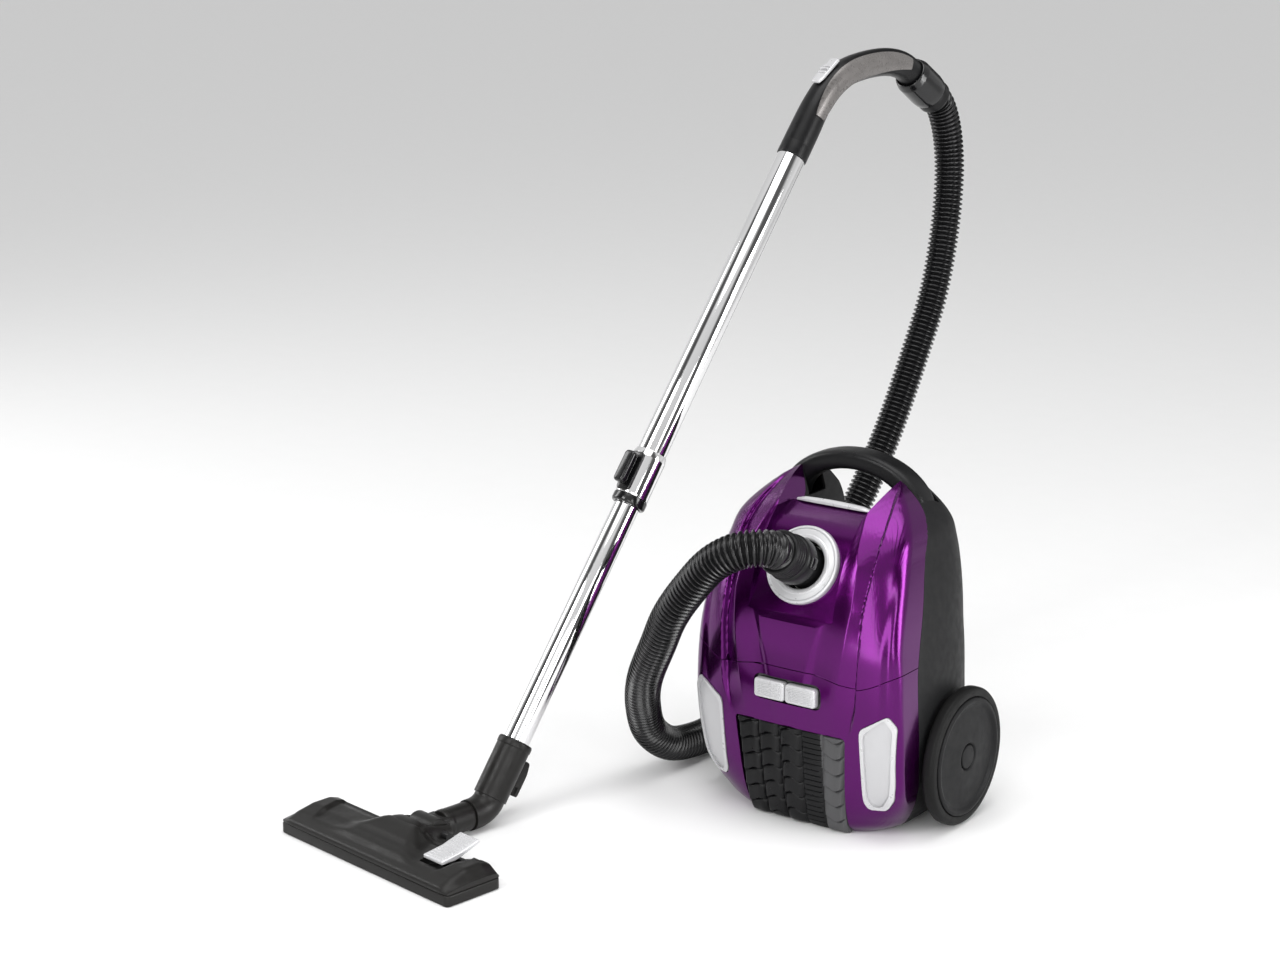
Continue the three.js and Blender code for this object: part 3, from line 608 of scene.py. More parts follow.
def front_solid(name, low_at, high_at, depth, count, levels, sculpted=True, reach=0.0):
    """The front of the canister between two heights that may change across it."""
    def height(x, t):
        return low_at(x) + (high_at(x) - low_at(x)) * t

    def point_on(z, i):
        """The i-th point of the level nearest to a height, which differs from point to point."""
        return ring_part(round(z * 4) / 4, depth, True, count, reach)[i][:2]

    rings = []
    for k in range(levels + 1):
        t = k / levels
        ring = []
        for i, (x, _, _) in enumerate(ring_part(height(0, t), depth, True, count, reach)):
            for _ in range(2):
                z = height(x, t)
                x = point_on(z, i)[0]
            x, y = point_on(z, i)
            ring.append((x, y + (sculpt(x, z) if sculpted else 0), z))
        rings.append(ring)
    return skin(name, rings)


def prism(name, outline, low, high, plane="Y"):
    """A sharp prism of an outline across Y (points are x, z) or across X (points are y, z)."""
    if plane == "Y":
        return skin(name, [[(u, d, v) for u, v in outline] for d in (low, high)])
    return skin(name, [[(d, u, v) for u, v in outline] for d in (low, high)])


def roof_at(y):
    return ROOF_FRONT[1] - ROOF_SLOPE * (y - ROOF_FRONT[0])


def window(grow):
    """The dish between the lid's horns, open under the handle."""
    high = 420
    low, flare = WINDOW_HALF + grow, WINDOW_HALF + WINDOW_FLARE + grow
    across = [(-low, 200), (low, 200), (low, ROOF_FRONT[1]), (flare, TOP + 8), (flare, high),
              (-flare, high), (-flare, TOP + 8), (-low, ROOF_FRONT[1])]
    fore = [(-140, high), (-140, VALLEY[0][1] - grow)]
    bowl = [(y + 0.88 * grow, z - 0.475 * grow) for y, z in VALLEY]
    bowl.append((ROOF_FRONT[0], ROOF_FRONT[1] - grow))
    fore += soften(bowl, 14, 8, closed=False)
    fore += [(100, roof_at(100) - grow), (100, high)]
    both = prism("window", across, -140, 100)
    return carve(both, prism("fore", fore, -90, 90, "X"), how="INTERSECT")


def arch_angles(cut, count):
    """Even angles over the handle's arch, from a height on one side to the same on the other."""
    start = asin((cut - HANDLE_Z) / HANDLE_OUTER[1])
    return [start + (pi - 2 * start) * k / count for k in range(count + 1)]


def arch_zone(grow):
    """The handle's arch filled in, which the shells leave free."""
    wide, tall = HANDLE_OUTER[0] + grow, HANDLE_OUTER[1] + grow
    outline = [(wide * cos(a), HANDLE_Z + tall * sin(a)) for a in arch_angles(HANDLE_CUT - grow, 40)]
    return prism("arch zone", outline, HANDLE_Y[0] - grow, HANDLE_Y[1] + grow)


def at_inlet():
    return shift(INLET) @ turn(pi / 2 - INLET_TILT, "X")


def lid():
    outer = front_solid("lid_shell", seam_at, lambda x: TOP - 0.2, 0, 300, 120)
    inner = front_solid("inner", lambda x: seam_at(x) - 3, lambda x: TOP - 5, WALL, 200, 80, reach=6)
    inner = carve(inner, window(WALL))
    mouth = turned("mouth", [(0, -40), (27, -40), (27, 40), (0, 40)], at_inlet(), 48, False)
    carve(outer, window(0), inner, mouth, arch_zone(0.5))
    settle(outer, PURPLE, "lid", "lid")


def insert_outline(side, depth):
    x0, x1, low, high_in, high_out = 82 + depth, 121 - depth, 36 + depth, 127 - depth, 145 - depth
    points = [(x0 + 4, low), (x1 - 17, low), (x1 - 8, low + 14), (x1 - 5, low + 30), (x1, high_out - 12),
              (x1 - 8, high_out), (x0 + 2, high_in), (x0, high_in - 6), (x0, low + 8)]
    return soften([(side * x, z) for x, z in points], 4, 4)


def lower_cover():
    cover = front_solid("lower_cover", lambda x: 0, lambda x: seam_at(x) - SEAM_GAP, 0, 300, 80)
    inner = front_solid("inner", lambda x: WALL, lambda x: seam_at(x) + 3, WALL, 200, 60, reach=6)
    slot = rectangle(-PEDAL_HALF - 3.5, PEDAL_HALF + 3.5, PEDAL_Z[0] - 3.5, PEDAL_Z[1] + 3.5, 9, 6)
    foot, top = GRILLE_HALF
    outline = [(-foot, -5), (foot, -5), (top, GRILLE_TOP), (-top, GRILLE_TOP)]
    opening = prism("opening", soften(outline, 5), -150, -50)
    pockets = [prism("pocket", insert_outline(side, 0), -150, -84) for side in (1, -1)]
    carve(cover, inner, opening, prism("slot", slot, -140, -80), *pockets)
    settle(cover, PURPLE, "canister", "rear_cover")
    tray = plate("pedal_recess", slot, 110.5, 113.2, 0.6, UPRIGHT)
    settle(tray, SHINY_BLACK, "canister")


def rear_solid(name, depth, count, levels, low, high, reach):
    rings = []
    for k in range(levels + 1):
        z = low + (high - low) * k / levels
        rings.append(ring_part(z, depth, False, count, reach))
    return skin(name, rings)


def on_axle(side, x):
    """The wheel's axis, pointing outward from a distance to the side."""
    return shift((side * x, WHEEL["y"], WHEEL["z"])) @ turn(side * pi / 2, "Y")


def pan():
    """The rear shell, with the round well of the caster and the bosses of the wheels."""
    outer = rear_solid("pan_shell", 0, 150, 110, 0, TOP - 0.2, 0.6)
    inner = rear_solid("inner", WALL, 90, 60, WALL, TOP - 5, -6)
    inner = carve(inner, window(WALL))
    at_back = shift((0, CASTER["skin"], CASTER["z"])) @ UPRIGHT
    wide, deep = CASTER["pocket"], CASTER["depth"]
    wall = [(0, -0.3), (wide + WALL, -0.3), (wide + WALL, deep + WALL), (0, deep + WALL)]
    well = turned("well wall", soften(wall, 1, closed=False), at_back, 64, False)
    pocket = turned("pocket", [(0, -20), (wide, -20), (wide, deep), (0, deep)], at_back, 64, False)
    carve(outer, inner, window(0), arch_zone(0.4))
    carve(outer, well, how="UNION")
    carve(outer, pocket)
    settle(outer, PAN, "canister", "base_pan")
    boss = soften([(0, 0), (26, 0), (24, 4.5), (10, 4.7), (0, 4.7)], 1.5, closed=False)
    for side, label in ((-1, "left"), (1, "right")):
        settle(turned("wheel_boss_" + label, boss, on_axle(side, 121.5), 64, False), PAN, "canister")


def handle():
    """The arched grip over the window, with a rounded section."""
    rings = []
    middle, reach = (HANDLE_Y[0] + HANDLE_Y[1]) / 2, (HANDLE_Y[1] - HANDLE_Y[0]) / 2
    for a in arch_angles(HANDLE_CUT - 2, 64):
        outer = Vector((HANDLE_OUTER[0] * cos(a), 0, HANDLE_Z + HANDLE_OUTER[1] * sin(a)))
        inner = Vector((HANDLE_INNER[0] * cos(a), 0, HANDLE_Z + HANDLE_INNER[1] * sin(a)))
        ring = []
        for c, s in disc_points(1, 36):
            spot = (outer + inner) / 2 + (outer - inner) / 2 * rounded(c, 0.62)
            ring.append((spot.x, middle + reach * rounded(s, 0.62), spot.z))
        rings.append(ring)
    settle(skin("carry_arch", rings), BLACK, "canister", "carry_handle")


def latch():
    """Bowed silver bar along the lid's top edge."""
    rings = []
    y, z = ROOF_FRONT
    for k in range(33):
        x = -44 + 88 * k / 32
        bow = 1.6 * (1 - (x / 44) ** 2)
        taper = 1 - 0.45 * smoothstep(34, 44, abs(x))
        profile = soften([(y - 3.4, z + 0.6), (y - 2.6, z + 3.2), (y + 1, z + 4.6), (y + 7, z + 2.0),
                          (y + 7, roof_at(y + 7) + 0.7), (y, z + 0.8)], 1.2, 3)
        rings.append([(x, y + (v - y) * taper, z + 0.8 + (w - z - 0.8) * taper + bow * (w > z + 1.5))
                      for v, w in profile])
    settle(skin("latch_bar", rings), SILVER, "lid_latch", "lid_latch")


def louvre(u, t, z):
    """How far the grille's face lies behind the cover's nose, at u across it and t up it."""
    column = min(LOUVRE_COLUMNS - 1, int(u * LOUVRE_COLUMNS))
    across = u * LOUVRE_COLUMNS - column
    fine = column == FINE_COLUMN
    step = LOUVRE_PITCH / 3 if fine else LOUVRE_PITCH
    wave = 0 if fine else 0.13 * sin(2 * pi * across + column)
    phase = (z / step + 0.5 * (column % 2) + wave) % 1.0
    block = 1 - smoothstep(0.78, 0.98, phase)
    lift = (1.6 if fine else 4.6) * (1 - 0.72 * phase) * (1 - smoothstep(0.86, 1.0, phase))
    crown = 1 - (2 * across - 1) ** 6
    rim = smoothstep(0, 0.03, u) * smoothstep(0, 0.03, 1 - u)
    return 3.4 - lift * crown * rim * smoothstep(0, 0.03, t) - 1.2 * crown * block


def grille():
    """Columns of stacked louvre blocks that bulge from the lower cover, one of them finer."""
    rows, columns = 150, 156
    points, faces = [], []
    for front in (True, False):
        for r in range(rows + 1):
            t = r / rows
            z = 0.6 + (GRILLE_TOP - 1.6) * t
            half = GRILLE_HALF[0] + (GRILLE_HALF[1] - GRILLE_HALF[0]) * z / GRILLE_TOP - 0.9
            nose = float(section_at(z)[1])
            for c in range(columns + 1):
                u = c / columns
                x = -half + 2 * half * u
                depth = louvre(u, t, z) + 1.1 * abs(x / 60) ** 2.6 if front else 9
                points.append((x, nose + depth, z))
    row = columns + 1
    size = (rows + 1) * row
    for r in range(rows):
        for c in range(columns):
            a = r * row + c
            faces.append((a, a + 1, a + row + 1, a + row))
            faces.append((size + a, size + a + row, size + a + row + 1, size + a + 1))
    border = [c for c in range(row)]
    border += [r * row + columns for r in range(1, rows + 1)]
    border += [rows * row + c for c in range(columns - 1, -1, -1)]
    border += [r * row for r in range(rows - 1, 0, -1)]
    for i, a in enumerate(border):
        b = border[(i + 1) % len(border)]
        faces.append((a, b, size + b, size + a))
    obj = solid("exhaust_louvres", points, faces, angle=40)
    settle(obj, BLACK, "canister", "exhaust_grille")
    obj.data.materials.append(GREY)
    for face in obj.data.polygons:
        if face.center.x > GREY_FROM * GRILLE_HALF[0] * MM:
            face.material_index = 1


def insert_layer(side, depth, hollow_depth):
    """A thin layer of the canister's front inside the outline of a side insert."""
    layer = front_solid("layer", lambda x: 30, lambda x: 150, depth, 160, 40, False)
    carve(layer, prism("outline", insert_outline(side, 0.5), -150, -84.4), how="INTERSECT")
    return carve(layer, front_solid("hollow", lambda x: 28, lambda x: 152, hollow_depth, 100, 30, False))


def side_inserts():
    for side, label in ((1, "right"), (-1, "left")):
        face = insert_layer(side, 1.4, 4.0)
        rim = carve(insert_layer(side, -1.3, 3.0), prism("middle", insert_outline(side, 4.2), -160, -80))
        face.name = "side_face_" + label
        rim.name = "side_rim_" + label
        settle(face, SATIN, "canister", "side_insert_" + label)
        settle(rim, SILVER, "canister")


def pedals():
    """Two ribbed rocker plates under the lid."""
    low, high = PEDAL_Z[0] + 3, PEDAL_Z[1] - 3
    thick = -PEDAL_FACE - 1.2, -PEDAL_FACE + 0.1
    for side, node, name in ((1, "power_pedal", "power_plate"), (-1, "rewind_pedal", "rewind_plate")):
        near, far = (0.6, PEDAL_HALF) if side > 0 else (-PEDAL_HALF, -0.6)
        outline = rectangle(near, far, *PEDAL_Z, 4, 5)
        parts = [plate(name, outline, -PEDAL_FACE - 9, -PEDAL_FACE - 0.5, 1.8, UPRIGHT)]
        for k in range(9):
            z = low + k * (high - low) / 8
            parts.append(rib(near + 4, far - 4, z - 0.55, z + 0.55, 0.5, *thick, 0.4, UPRIGHT))
        for x in (near + 9, far - 9):
            parts.append(rib(x - 0.4, x + 0.4, low, high, 0.4, *thick, 0.3, UPRIGHT))
        stem = rectangle(side * 20 - 4, side * 20 + 4, 146, 154, 1)
        parts.append(plate("stem", stem, 108.5, -PEDAL_FACE - 8, 0.5, UPRIGHT))
        settle(merge(name, parts), SILVER, node, node)


def inlet():
    """Silver ring, hose cuff and its two release buttons."""
    place = at_inlet()
    ring = soften([(25.6, -4), (25.6, 4.6), (27.2, 6.2), (30.5, 6.3), (31.4, 5.4), (37.2, 4.7), (38.2, 5.6),
                   (40.2, 4.9), (41, 2.8), (41, -3), (36, -6)], 0.9, 3)
    settle(turned("inlet_trim", ring, place, 96), SILVER, "lid", "inlet_ring")
    cuff = [(18.6, -16), (22.3, -16), (22.3, 13), (23.4, 15), (24.9, 18), (24.9, 32), (23.6, 34.5),
            (22.6, 35)]
    for k in range(4):
        z = 37.5 + 4.2 * k
        cuff += [(22.6, z), (23.3, z + 0.7), (23.3, z + 2.0), (22.6, z + 2.7)]
    cuff += [(22.4, 54), (21.4, 55), (18.6, 55)]
    cuff = turned("cuff_sleeve", soften(cuff, 0.6, 2), place, 72)
    settle(cuff, BLACK, "hose_cuff", "hose_cuff")
    for side, label in ((1, "right"), (-1, "left")):
        low, high = (22.5, 27) if side > 0 else (-27, -22.5)
        pad = rectangle(-6, 6, 19.5, 30.5, 3)
        button = plate("release_" + label, pad, low, high, 1.2, place @ SIDEWAYS)
        node = "cuff_button_" + label
        settle(button, SHINY_BLACK, node, node)


def wheels():
    r, width = WHEEL["radius"], WHEEL["width"]
    for side, label in ((1, "right"), (-1, "left")):
        place = on_axle(side, WHEEL["x"])
        tread = soften([(r - 10, 2), (r - 2, 1.2), (r, 3.6), (r, width - 4.5), (r - 2.2, width - 1.6),
                        (r - 6, width - 0.9), (r - 10, width - 1.4)], 1.6, 4)
        settle(turned("tread_" + label, tread, place, 128), TREAD, "wheel_" + label, "tyre_" + label)
        face = [(4.5, 0), (16, 0), (18, 5), (r - 10.4, 5), (r - 10.4, width - 0.4), (r - 13, width + 0.6),
                (r - 15, width + 0.4), (r - 18.5, width - 2.2), (r - 21, width - 2.6), (34, width - 1.8),
                (20, width - 0.9), (15.5, width - 0.6), (14, width - 1.6), (13, width - 4),
                (4.5, width - 4)]
        disc = turned("disc_" + label, soften(face, 1.0, 3), place, 128)
        settle(disc, PAN, "wheel_" + label, "wheel_" + label)
        cap = [(0, width - 3.6), (12.6, width - 3.6), (12.6, width - 1.5), (11.6, width - 0.7),
               (0, width - 0.2)]
        stub = [(0, -20), (4, -20), (4, width - 3.4), (0, width - 3.4)]
        axle = merge("axle_cap_" + label, [turned("cap", soften(cap, 1.0, 4, False), place, 64, False),
                                           turned("stub", stub, place, 32, False)])
        settle(axle, PAN, "canister", "axle_" + label)


# ---------------- hose
def hose_curve(points, samples=60):
    """The smooth centripetal curve through the route, as in part.mjs."""
    pts = [np.array(p, float) for p in points]
    pts = [2 * pts[0] - pts[1]] + pts + [2 * pts[-1] - pts[-2]]
    out = []
    for i in range(1, len(pts) - 2):
        p0, p1, p2, p3 = pts[i - 1:i + 3]
        d0, d1, d2 = [max(1e-4, np.linalg.norm(b - a)) ** 0.5 for a, b in ((p0, p1), (p1, p2), (p2, p3))]
        t1 = ((p1 - p0) / d0 - (p2 - p0) / (d0 + d1) + (p2 - p1) / d1) * d1
        t2 = ((p2 - p1) / d1 - (p3 - p1) / (d1 + d2) + (p3 - p2) / d2) * d1
        for k in range(samples):
            out.append(hermite(k / samples, p1, t1, p2, t2))
    out.append(pts[-2])
    return np.array(out)


def evenly(curve, spacing):
    """Points a fixed distance apart on a fine curve, and the curve's length."""
    steps = np.linalg.norm(np.diff(curve, axis=0), axis=1)
    run = np.concatenate([[0], np.cumsum(steps)])
    count = int(round(run[-1] / spacing))
    at = np.linspace(0, run[-1], count + 1)
    return np.stack([np.interp(at, run, curve[:, k]) for k in range(3)], 1), float(run[-1])


def hose():
    """The ribbed hose, a little slimmer towards the grip."""
    per_rib = len(HOSE_RIB)
    path, length = evenly(hose_curve(HOSE_ROUTE), HOSE_PITCH / per_rib)

    def section(i):
        slim = 1 - HOSE_SLIM * smoothstep(0.45, 0.75, i / len(path))
        return disc_points(HOSE_RIB[i % per_rib] * slim, 32)
    obj = along(path, section, "hose_tube", angle=50)
    paint(obj, HOSE_BLACK)
    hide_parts("hose")
    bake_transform(obj)


# ---------------- wand and grip
HEAD = shift(HEAD_ORIGIN) @ turn(HEAD_TURN, "Z")
WAND = HEAD @ shift(ELBOW) @ turn(-WAND_LEAN, "X")
HOSE_TIP = (HEAD @ shift(HOSE_END)
            @ turn(-atan2(HOSE_END_DIR[0], HOSE_END_DIR[1]), "X"))


def wand_part(name, profile, edge, steps, segments, material, body, *nodes):
    """A turned piece on the wand's axis."""
    settle(turned(name, soften(profile, edge, steps), WAND, segments), material, body, *nodes)


def wand():
    tube = rectangle(12.9, 14, 34, COLLAR + 40)
    wand_part("lower_tube", tube, 0.4, 2, 96, CHROME, "lower_wand", "wand_lower")
    tube = rectangle(14.9, 16, COLLAR - 20, UPPER_END)
    wand_part("upper_tube", tube, 0.4, 2, 96, CHROME, "wand", "wand_upper")
    sleeve = [(16.3, COLLAR - 24), (18.4, COLLAR - 24), (18.8, COLLAR - 22), (18.8, COLLAR + 21),
              (18.2, COLLAR + 24), (17.2, COLLAR + 28), (16.3, COLLAR + 28)]
    wand_part("collar_sleeve", sleeve, 0.6, 3, 96, CHROME, "wand", "wand_collar")
    ring = [(14.4, COLLAR - 34), (17.4, COLLAR - 34), (18.8, COLLAR - 32), (18.8, COLLAR - 24.5),
            (14.4, COLLAR - 24.5)]
    wand_part("lock_ring", ring, 0.8, 3, 72, SHINY_BLACK, "wand", "collar_ring")
    band = [(16.2, UPPER_END - 14), (16.7, UPPER_END - 14), (17, UPPER_END - 13), (17, UPPER_END + 1.5),
            (16.2, UPPER_END + 1.5)]
    wand_part("grip_band", band, 0.5, 3, 72, BLACK, "wand", "grip_sleeve")
    push_button()


def push_button():
    """Black catch on the collar: a ribbed pad that pushes into its housing."""
    outline = rectangle(-7, 7, COLLAR - 18, COLLAR + 18, 5, 6)
    face = WAND @ UPRIGHT
    parts = [plate("pad", outline, 21.4, 31.6, 3, face)]
    for k in range(5):
        s = COLLAR - 8 + 4 * k
        parts.append(rib(-5, 5, s - 0.8, s + 0.8, 0.7, 30, 31.2, 0.5, face))
    settle(merge("slide_catch", parts), SHINY_BLACK, "wand_button", "wand_button")
    housing = rectangle(-9.5, 9.5, COLLAR - 23, COLLAR + 22, 6, 6)
    frame_part = plate("catch_housing", housing, 15, 19.0, 1.2, face)
    bore = [(0, COLLAR - 60), (18.6, COLLAR - 60), (18.6, COLLAR + 60), (0, COLLAR + 60)]
    carve(frame_part, turned("bore", bore, WAND, 64, False))
    settle(frame_part, SHINY_BLACK, "wand")


def socket():
    """Black socket that takes the wand, with the parking clip behind it."""
    body = [(14.4, 14), (18, 14), (18, 14 + SOCKET - 8), (18.6, 14 + SOCKET - 7), (18.6, 14 + SOCKET - 2),
            (17.6, 14 + SOCKET), (14.4, 14 + SOCKET)]
    wand_part("wand_socket_body", body, 0.8, 3, 72, HEAD_BLACK, "lower_wand", "wand_socket")
    outline = soften([(18.4, 34), (22, 26), (31, 26), (31, 52), (27.5, 64), (18.4, 64)], 3, 4)
    side = WAND @ SIDEWAYS
    clip = plate("parking_clip", outline, -6, 6, 1.4, side)
    carve(clip, plate("notch", rectangle(21.5, 26, 20, 36, 1.2), -9, 9, 0.4, side))
    settle(clip, HEAD_BLACK, "lower_wand", "park_clip")


def grip():
    path, _ = evenly(hose_curve(GRIP_ROUTE, 20), 3.0)

    def section(i):
        return disc_points(16.9 - 1.4 * smoothstep(0.02, 0.3, i / len(path)), 56)
    body = along(path, section, "grip_bow", HEAD, up=(1, 0, 0))
    settle(body, BLACK, "wand", "grip_tube")
    cap = [(16.5, -44), (18.4, -44), (19.4, -42), (21.4, -36), (21.6, -8), (20.8, 0), (16.5, 0)]
    settle(turned("end_cap", soften(cap, 1.5, 4), HOSE_TIP, 96), SHINY_BLACK, "wand", "grip_collar")
    end = [(12.2, 0.5), (19.2, 0.5), (20, 2), (20, 10.5), (19, 12), (12.2, 12)]
    settle(turned("hose_ferrule", soften(end, 0.7, 3), HOSE_TIP, 72), BLACK, "canister", "hose_end_collar")
    grip_panel(path)
    slider()


def grip_panel(path):
    """Gunmetal inlay on the right flank of the bow."""
    inside = [p for p in path if 640 < p[1] < 792]
    count = len(inside)

    def section(i):
        t = i / (count - 1)
        spread = radians(46) * (sin(pi * min(1.0, max(0.0, 0.06 + 0.88 * t))) ** 0.45)
        top, out = [], []
        for k in range(15):
            a = -spread + 2 * spread * k / 14 - radians(8)
            lift = 17.6 - 0.5 * smoothstep(0.0, 0.5, t)
            top.append((lift * sin(a), lift * cos(a)))
            out.append((15.0 * sin(a), 15.0 * cos(a)))
        return top + out[::-1]
    panel = along(inside, section, "grip_inlay", HEAD, up=(1, 0, 0), angle=40)
    settle(panel, GUNMETAL, "wand", "grip_panel")


def slider():
    """Silver suction regulator that slides on top of the bow."""
    place = HEAD @ shift((0, 675, 720.5)) @ turn(0.6, "X")
    outline = soften([(-5, -20), (5, -20), (7, -12), (6, 20), (-6, 20), (-7, -12)], 2.5, 4)
    parts = [plate("slide", outline, 15.9, 19.6, 1.2, place)]
    for k in range(3):
        y = -5 + 5 * k
        parts.append(rib(-5.5, 5.5, y - 1, y + 1, 0.8, 19, 21 + (k == 1), 0.6, place))
    settle(merge("suction_regulator", parts), SILVER, "suction_slider", "suction_slider")


# ---------------- floor head
def head_rings(columns=160, rows=90):
    """Sections of the floor head's cover from its left end to its right end."""
    run = np.array(soften(HEAD_PROFILE, 1.8, 4, closed=False))
    steps = np.concatenate([[0], np.cumsum(np.linalg.norm(np.diff(run, axis=0), axis=1))])
    rings = []
    for k in range(columns + 1):
        x = HEAD_HALF * sin(pi * (k / columns - 0.5))
        upper = []
        for i in range(rows + 1):
            y = float(np.interp(i / rows * steps[-1], steps, run[:, 0]))
            z = float(np.interp(i / rows * steps[-1], steps, run[:, 1]))
            upper.append((x, *head_point(x, y, z)))
        lower = [(x, upper[-1][1] + (upper[0][1] - upper[-1][1]) * j / 12, 11.9) for j in range(1, 12)]
        rings.append(upper + lower)
    return rings


def head_point(x, y, z):
    """Bends one point of the cover's section: raised round ends, a sunk field and the middle swell."""
    side = abs(x)
    top = smoothstep(15.5, 19.5, z)
    middle = smoothstep(8, 26, y) * (1 - smoothstep(58, 66, y))
    field = smoothstep(104 - 0.25 * (40 - y), 98 - 0.25 * (40 - y), side)
    z -= 3.0 * top * middle * field
    reach = 74 - 0.62 * y
    swell = 1 - smoothstep(reach - 24, reach + 4, side)
    z += top * swell * (3.0 + 9.0 * smoothstep(16, 54, y)) * smoothstep(6, 20, y)
    tip = smoothstep(HEAD_HALF - 15, HEAD_HALF + 1, side)
    z = z if z < 13 else 13 + (z - 13) * (1 - 0.72 * tip ** 1.6)
    return 33 + (y - 33) * (1 - 0.05 * tip ** 2), z


def head_shell():
    shell = skin("head_cover", head_rings(), HEAD)
    bay = plate("bay", rectangle(63.5, 96.5, 20, 84, 2.5), 14, 60, 0.5, HEAD)
    hump = []
    for k in range(49):
        t = k / 48
        y = 40 + 56 * t
        wide = 27 + 13 * (1 - smoothstep(0, 0.55, t))
        tall = 37.5 - 9.5 * smoothstep(0.3, 1.0, t) - 4 * (1 - smoothstep(0, 0.3, t))
        hump.append([(wide * rounded(cos(a), 0.7), y, 8 + (tall - 8) * max(0.0, sin(a)) ** 0.62)
                     for a in np.linspace(0, pi, 49)])
    dome = skin("hump", hump, HEAD)
    carve(shell, bay, fork_gap())
    carve(dome, fork_gap())
    settle(merge("head_body", [shell, dome]), HEAD_BLACK, "floor_head", "head_shell")


def fork_gap():
    """Clear space between the arms that hold the neck."""
    return plate("fork", rectangle(-19, 19, 62, 99), 3, 60, 0.3, HEAD)


def head_skirt():
    """The band round the floor head's foot, and its underside with the suction mouth and brush slots."""
    skirt = rectangle(-HEAD_HALF - 1.5, HEAD_HALF + 1.5, -1.5, 67, 6, 5)
    inner = rectangle(-HEAD_HALF + 5, HEAD_HALF - 5, 5.5, 62, 4, 5)
    band = plate("band", skirt, 0.3, 11.6, 1.2, HEAD)
    carve(band, plate("inner", inner, -2, 14, 0.2, HEAD))
    under = plate("under", rectangle(-HEAD_HALF + 3, HEAD_HALF - 3, 2, 64, 4, 5), 5, 14, 0.6, HEAD)
    carve(under, plate("mouth", rectangle(-112, 112, 21, 41), 0, 30, 0.3, HEAD),
          plate("front slot", rectangle(-113, 113, 9, 16), 0, 30, 0.3, HEAD),
          plate("rear slot", rectangle(-113, 113, 49, 56), 0, 30, 0.3, HEAD))
    settle(merge("head_skirt", [band, under]), HEAD_BLACK, "floor_head")


def head_neck():
    """The swivelling tube behind the floor head, on its hinge drum."""
    tube = [(12, 0), (15, 0), (15.4, 3), (15.4, 7), (15, 9), (15, 34), (14.4, 36), (12, 36)]
    place = HEAD @ shift((0, 101, ELBOW[2])) @ turn(-pi / 2, "X")
    parts = [turned("neck", soften(tube, 0.8, 3), place, 64)]
    drum = [(4.5, -17.6), (13, -17.6), (14, -16.5), (14, 16.5), (13, 17.6), (4.5, 17.6)]
    across = HEAD @ shift(HINGE) @ turn(pi / 2, "Y")
    parts.append(turned("drum", soften(drum, 0.8, 3), across, 64))
    parts.append(plate("bridge", rectangle(-13.5, 13.5, 92, 104, 2), 10.5, 28.5, 2.0, HEAD))
    settle(merge("neck_body", parts), HEAD_BLACK, "neck", "head_neck")


def elbow():
    """The bend from the neck up to the wand's socket."""
    z = ELBOW[2]
    bend = [(0, 137.6, z), (0, 144, z), (0, 151.5, z + 0.8), (0, 158.5, z + 3.3), (0, 164.3, z + 7.3),
            (0, 169.5, z + 14.6)]
    path, _ = evenly(hose_curve(bend, 12), 1.6)
    bent = along(path, lambda i: disc_points(16.4, 48), "elbow_bend", HEAD, up=(1, 0, 0))
    settle(bent, HEAD_BLACK, "lower_wand", "neck_elbow")


def rocker():
    """Silver ribbed pedal that lowers the brush strips."""
    profile = soften([(24, 25), (24, 29), (48, 31.8), (72, 38.4), (73.4, 35), (50, 27), (42, 25)], 1.4, 4)
    side = HEAD @ SIDEWAYS
    parts = [plate("pad", profile, 66, 94, 1.0, side)]
    for k in range(11):
        y = 28 + 4.2 * k
        z = 29.3 + (y - 26) * (2.8 / 24) if y < 48 else 31.9 + (y - 48) * (6.6 / 24)
        parts.append(rib(y - 0.8, y + 0.8, z - 1.2, z + 0.7, 0.5, 69, 91, 0.5, side))
    settle(merge("brush_rocker_pad", parts), SILVER, "brush_pedal", "brush_pedal")


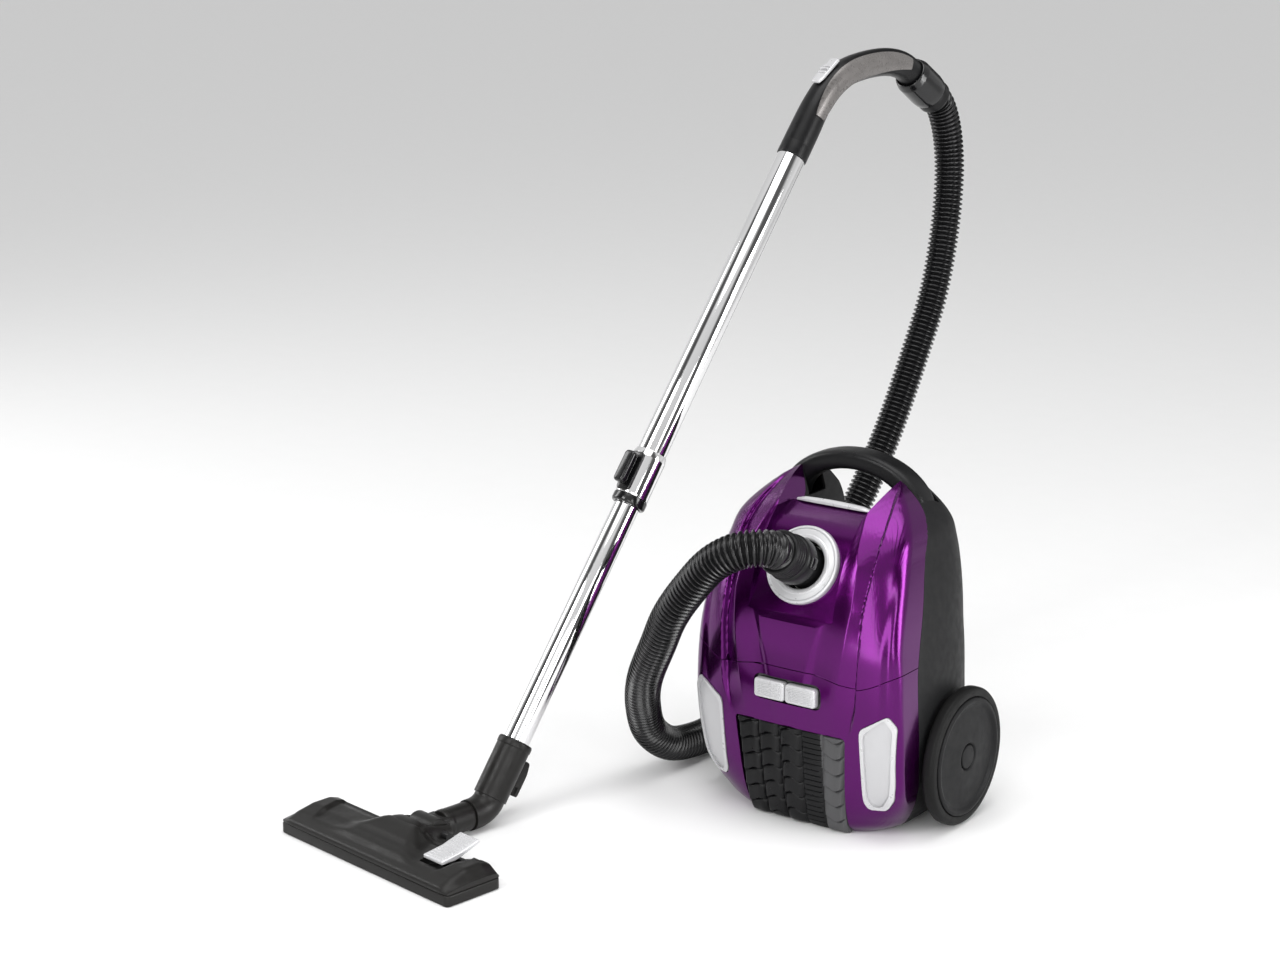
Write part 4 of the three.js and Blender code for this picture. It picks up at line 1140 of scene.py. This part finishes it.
def bristles():
    """Rows of tufts in the brush strips."""
    for node, y in (("brush_front", 12.5), ("brush_rear", 52.5)):
        parts = [plate("holder", rectangle(-110, 110, y - 1.9, y + 1.9), 8, 12, 0.4, HEAD)]
        for k in range(72):
            x = -108.5 + 217 * k / 71
            lean = 0.6 * sin(k * 2.4)
            tuft = [[(x + lean * t + u * (1 - 0.1 * t), y + v * (1 + 0.3 * t), 8.5 - 7.5 * t)
                     for u, v in disc_points(1.25, 7)] for t in (0, 0.5, 1)]
            parts.append(skin("tuft", tuft, HEAD))
        name = node.replace("brush_", "bristles_")
        settle(merge(name, parts), RUBBER, "brush_strips", node)


# ---------------- caster, dust bag and the rest
def dust_bag():
    """Filled paper bag: a crowned, creased form."""
    rings = []
    size = eased([(170, 40, 20), (174, 62, 34), (186, 80, 44), (214, 90, 50), (244, 88, 47), (266, 72, 35),
                  (278, 48, 20), (282, 30, 10)])
    for k in range(41):
        z = 170 + 112 * k / 40
        a, b = size(z)
        ring = []
        for j in range(96):
            angle = 2 * pi * j / 96
            crease = 1 + 0.018 * sin(6 * angle + z / 17) * sin(z / 9 + 2 * angle)
            pleat = 1 - 0.05 * exp(-((abs(sin(angle)) / 0.12) ** 2))
            ring.append((a * crease * pleat * rounded(cos(angle), 0.85),
                         -10 + b * crease * rounded(sin(angle), 0.85), z))
        rings.append(ring)
    obj = skin("paper_bag", rings)
    settle(obj, PAPER, "canister", "dust_bag")


PLAIN = {
    "bulkhead": PAN, "motor_housing": STEEL, "motor_rotor": STEEL, "motor_seal": RUBBER,
    "motor_filter": CLOTH, "exhaust_filter": CLOTH, "cord_reel": BLACK, "reel_frame": BLACK,
    "brake_lever": WHITE, "power_switch": WHITE, "control_board": BOARD, "cord_outlet": RUBBER,
    "bag_holder": WHITE, "caster_fork": BLACK, "caster_wheel": RUBBER, "inlet_seal": RUBBER,
    "sole_plate": STEEL, "hinge_pin": BLACK,
}


def plain_nodes():
    """The CAD nodes that stay, each with its real finish."""
    for name, material in PLAIN.items():
        paint(NODES[name], material)
        shade(NODES[name], 30)


camera()
room()
lights()
floor()
hose()
lid()
lower_cover()
pan()
handle()
latch()
grille()
side_inserts()
pedals()
inlet()
wheels()
wand()
socket()
grip()
head_shell()
head_skirt()
head_neck()
elbow()
rocker()
bristles()
dust_bag()
plain_nodes()
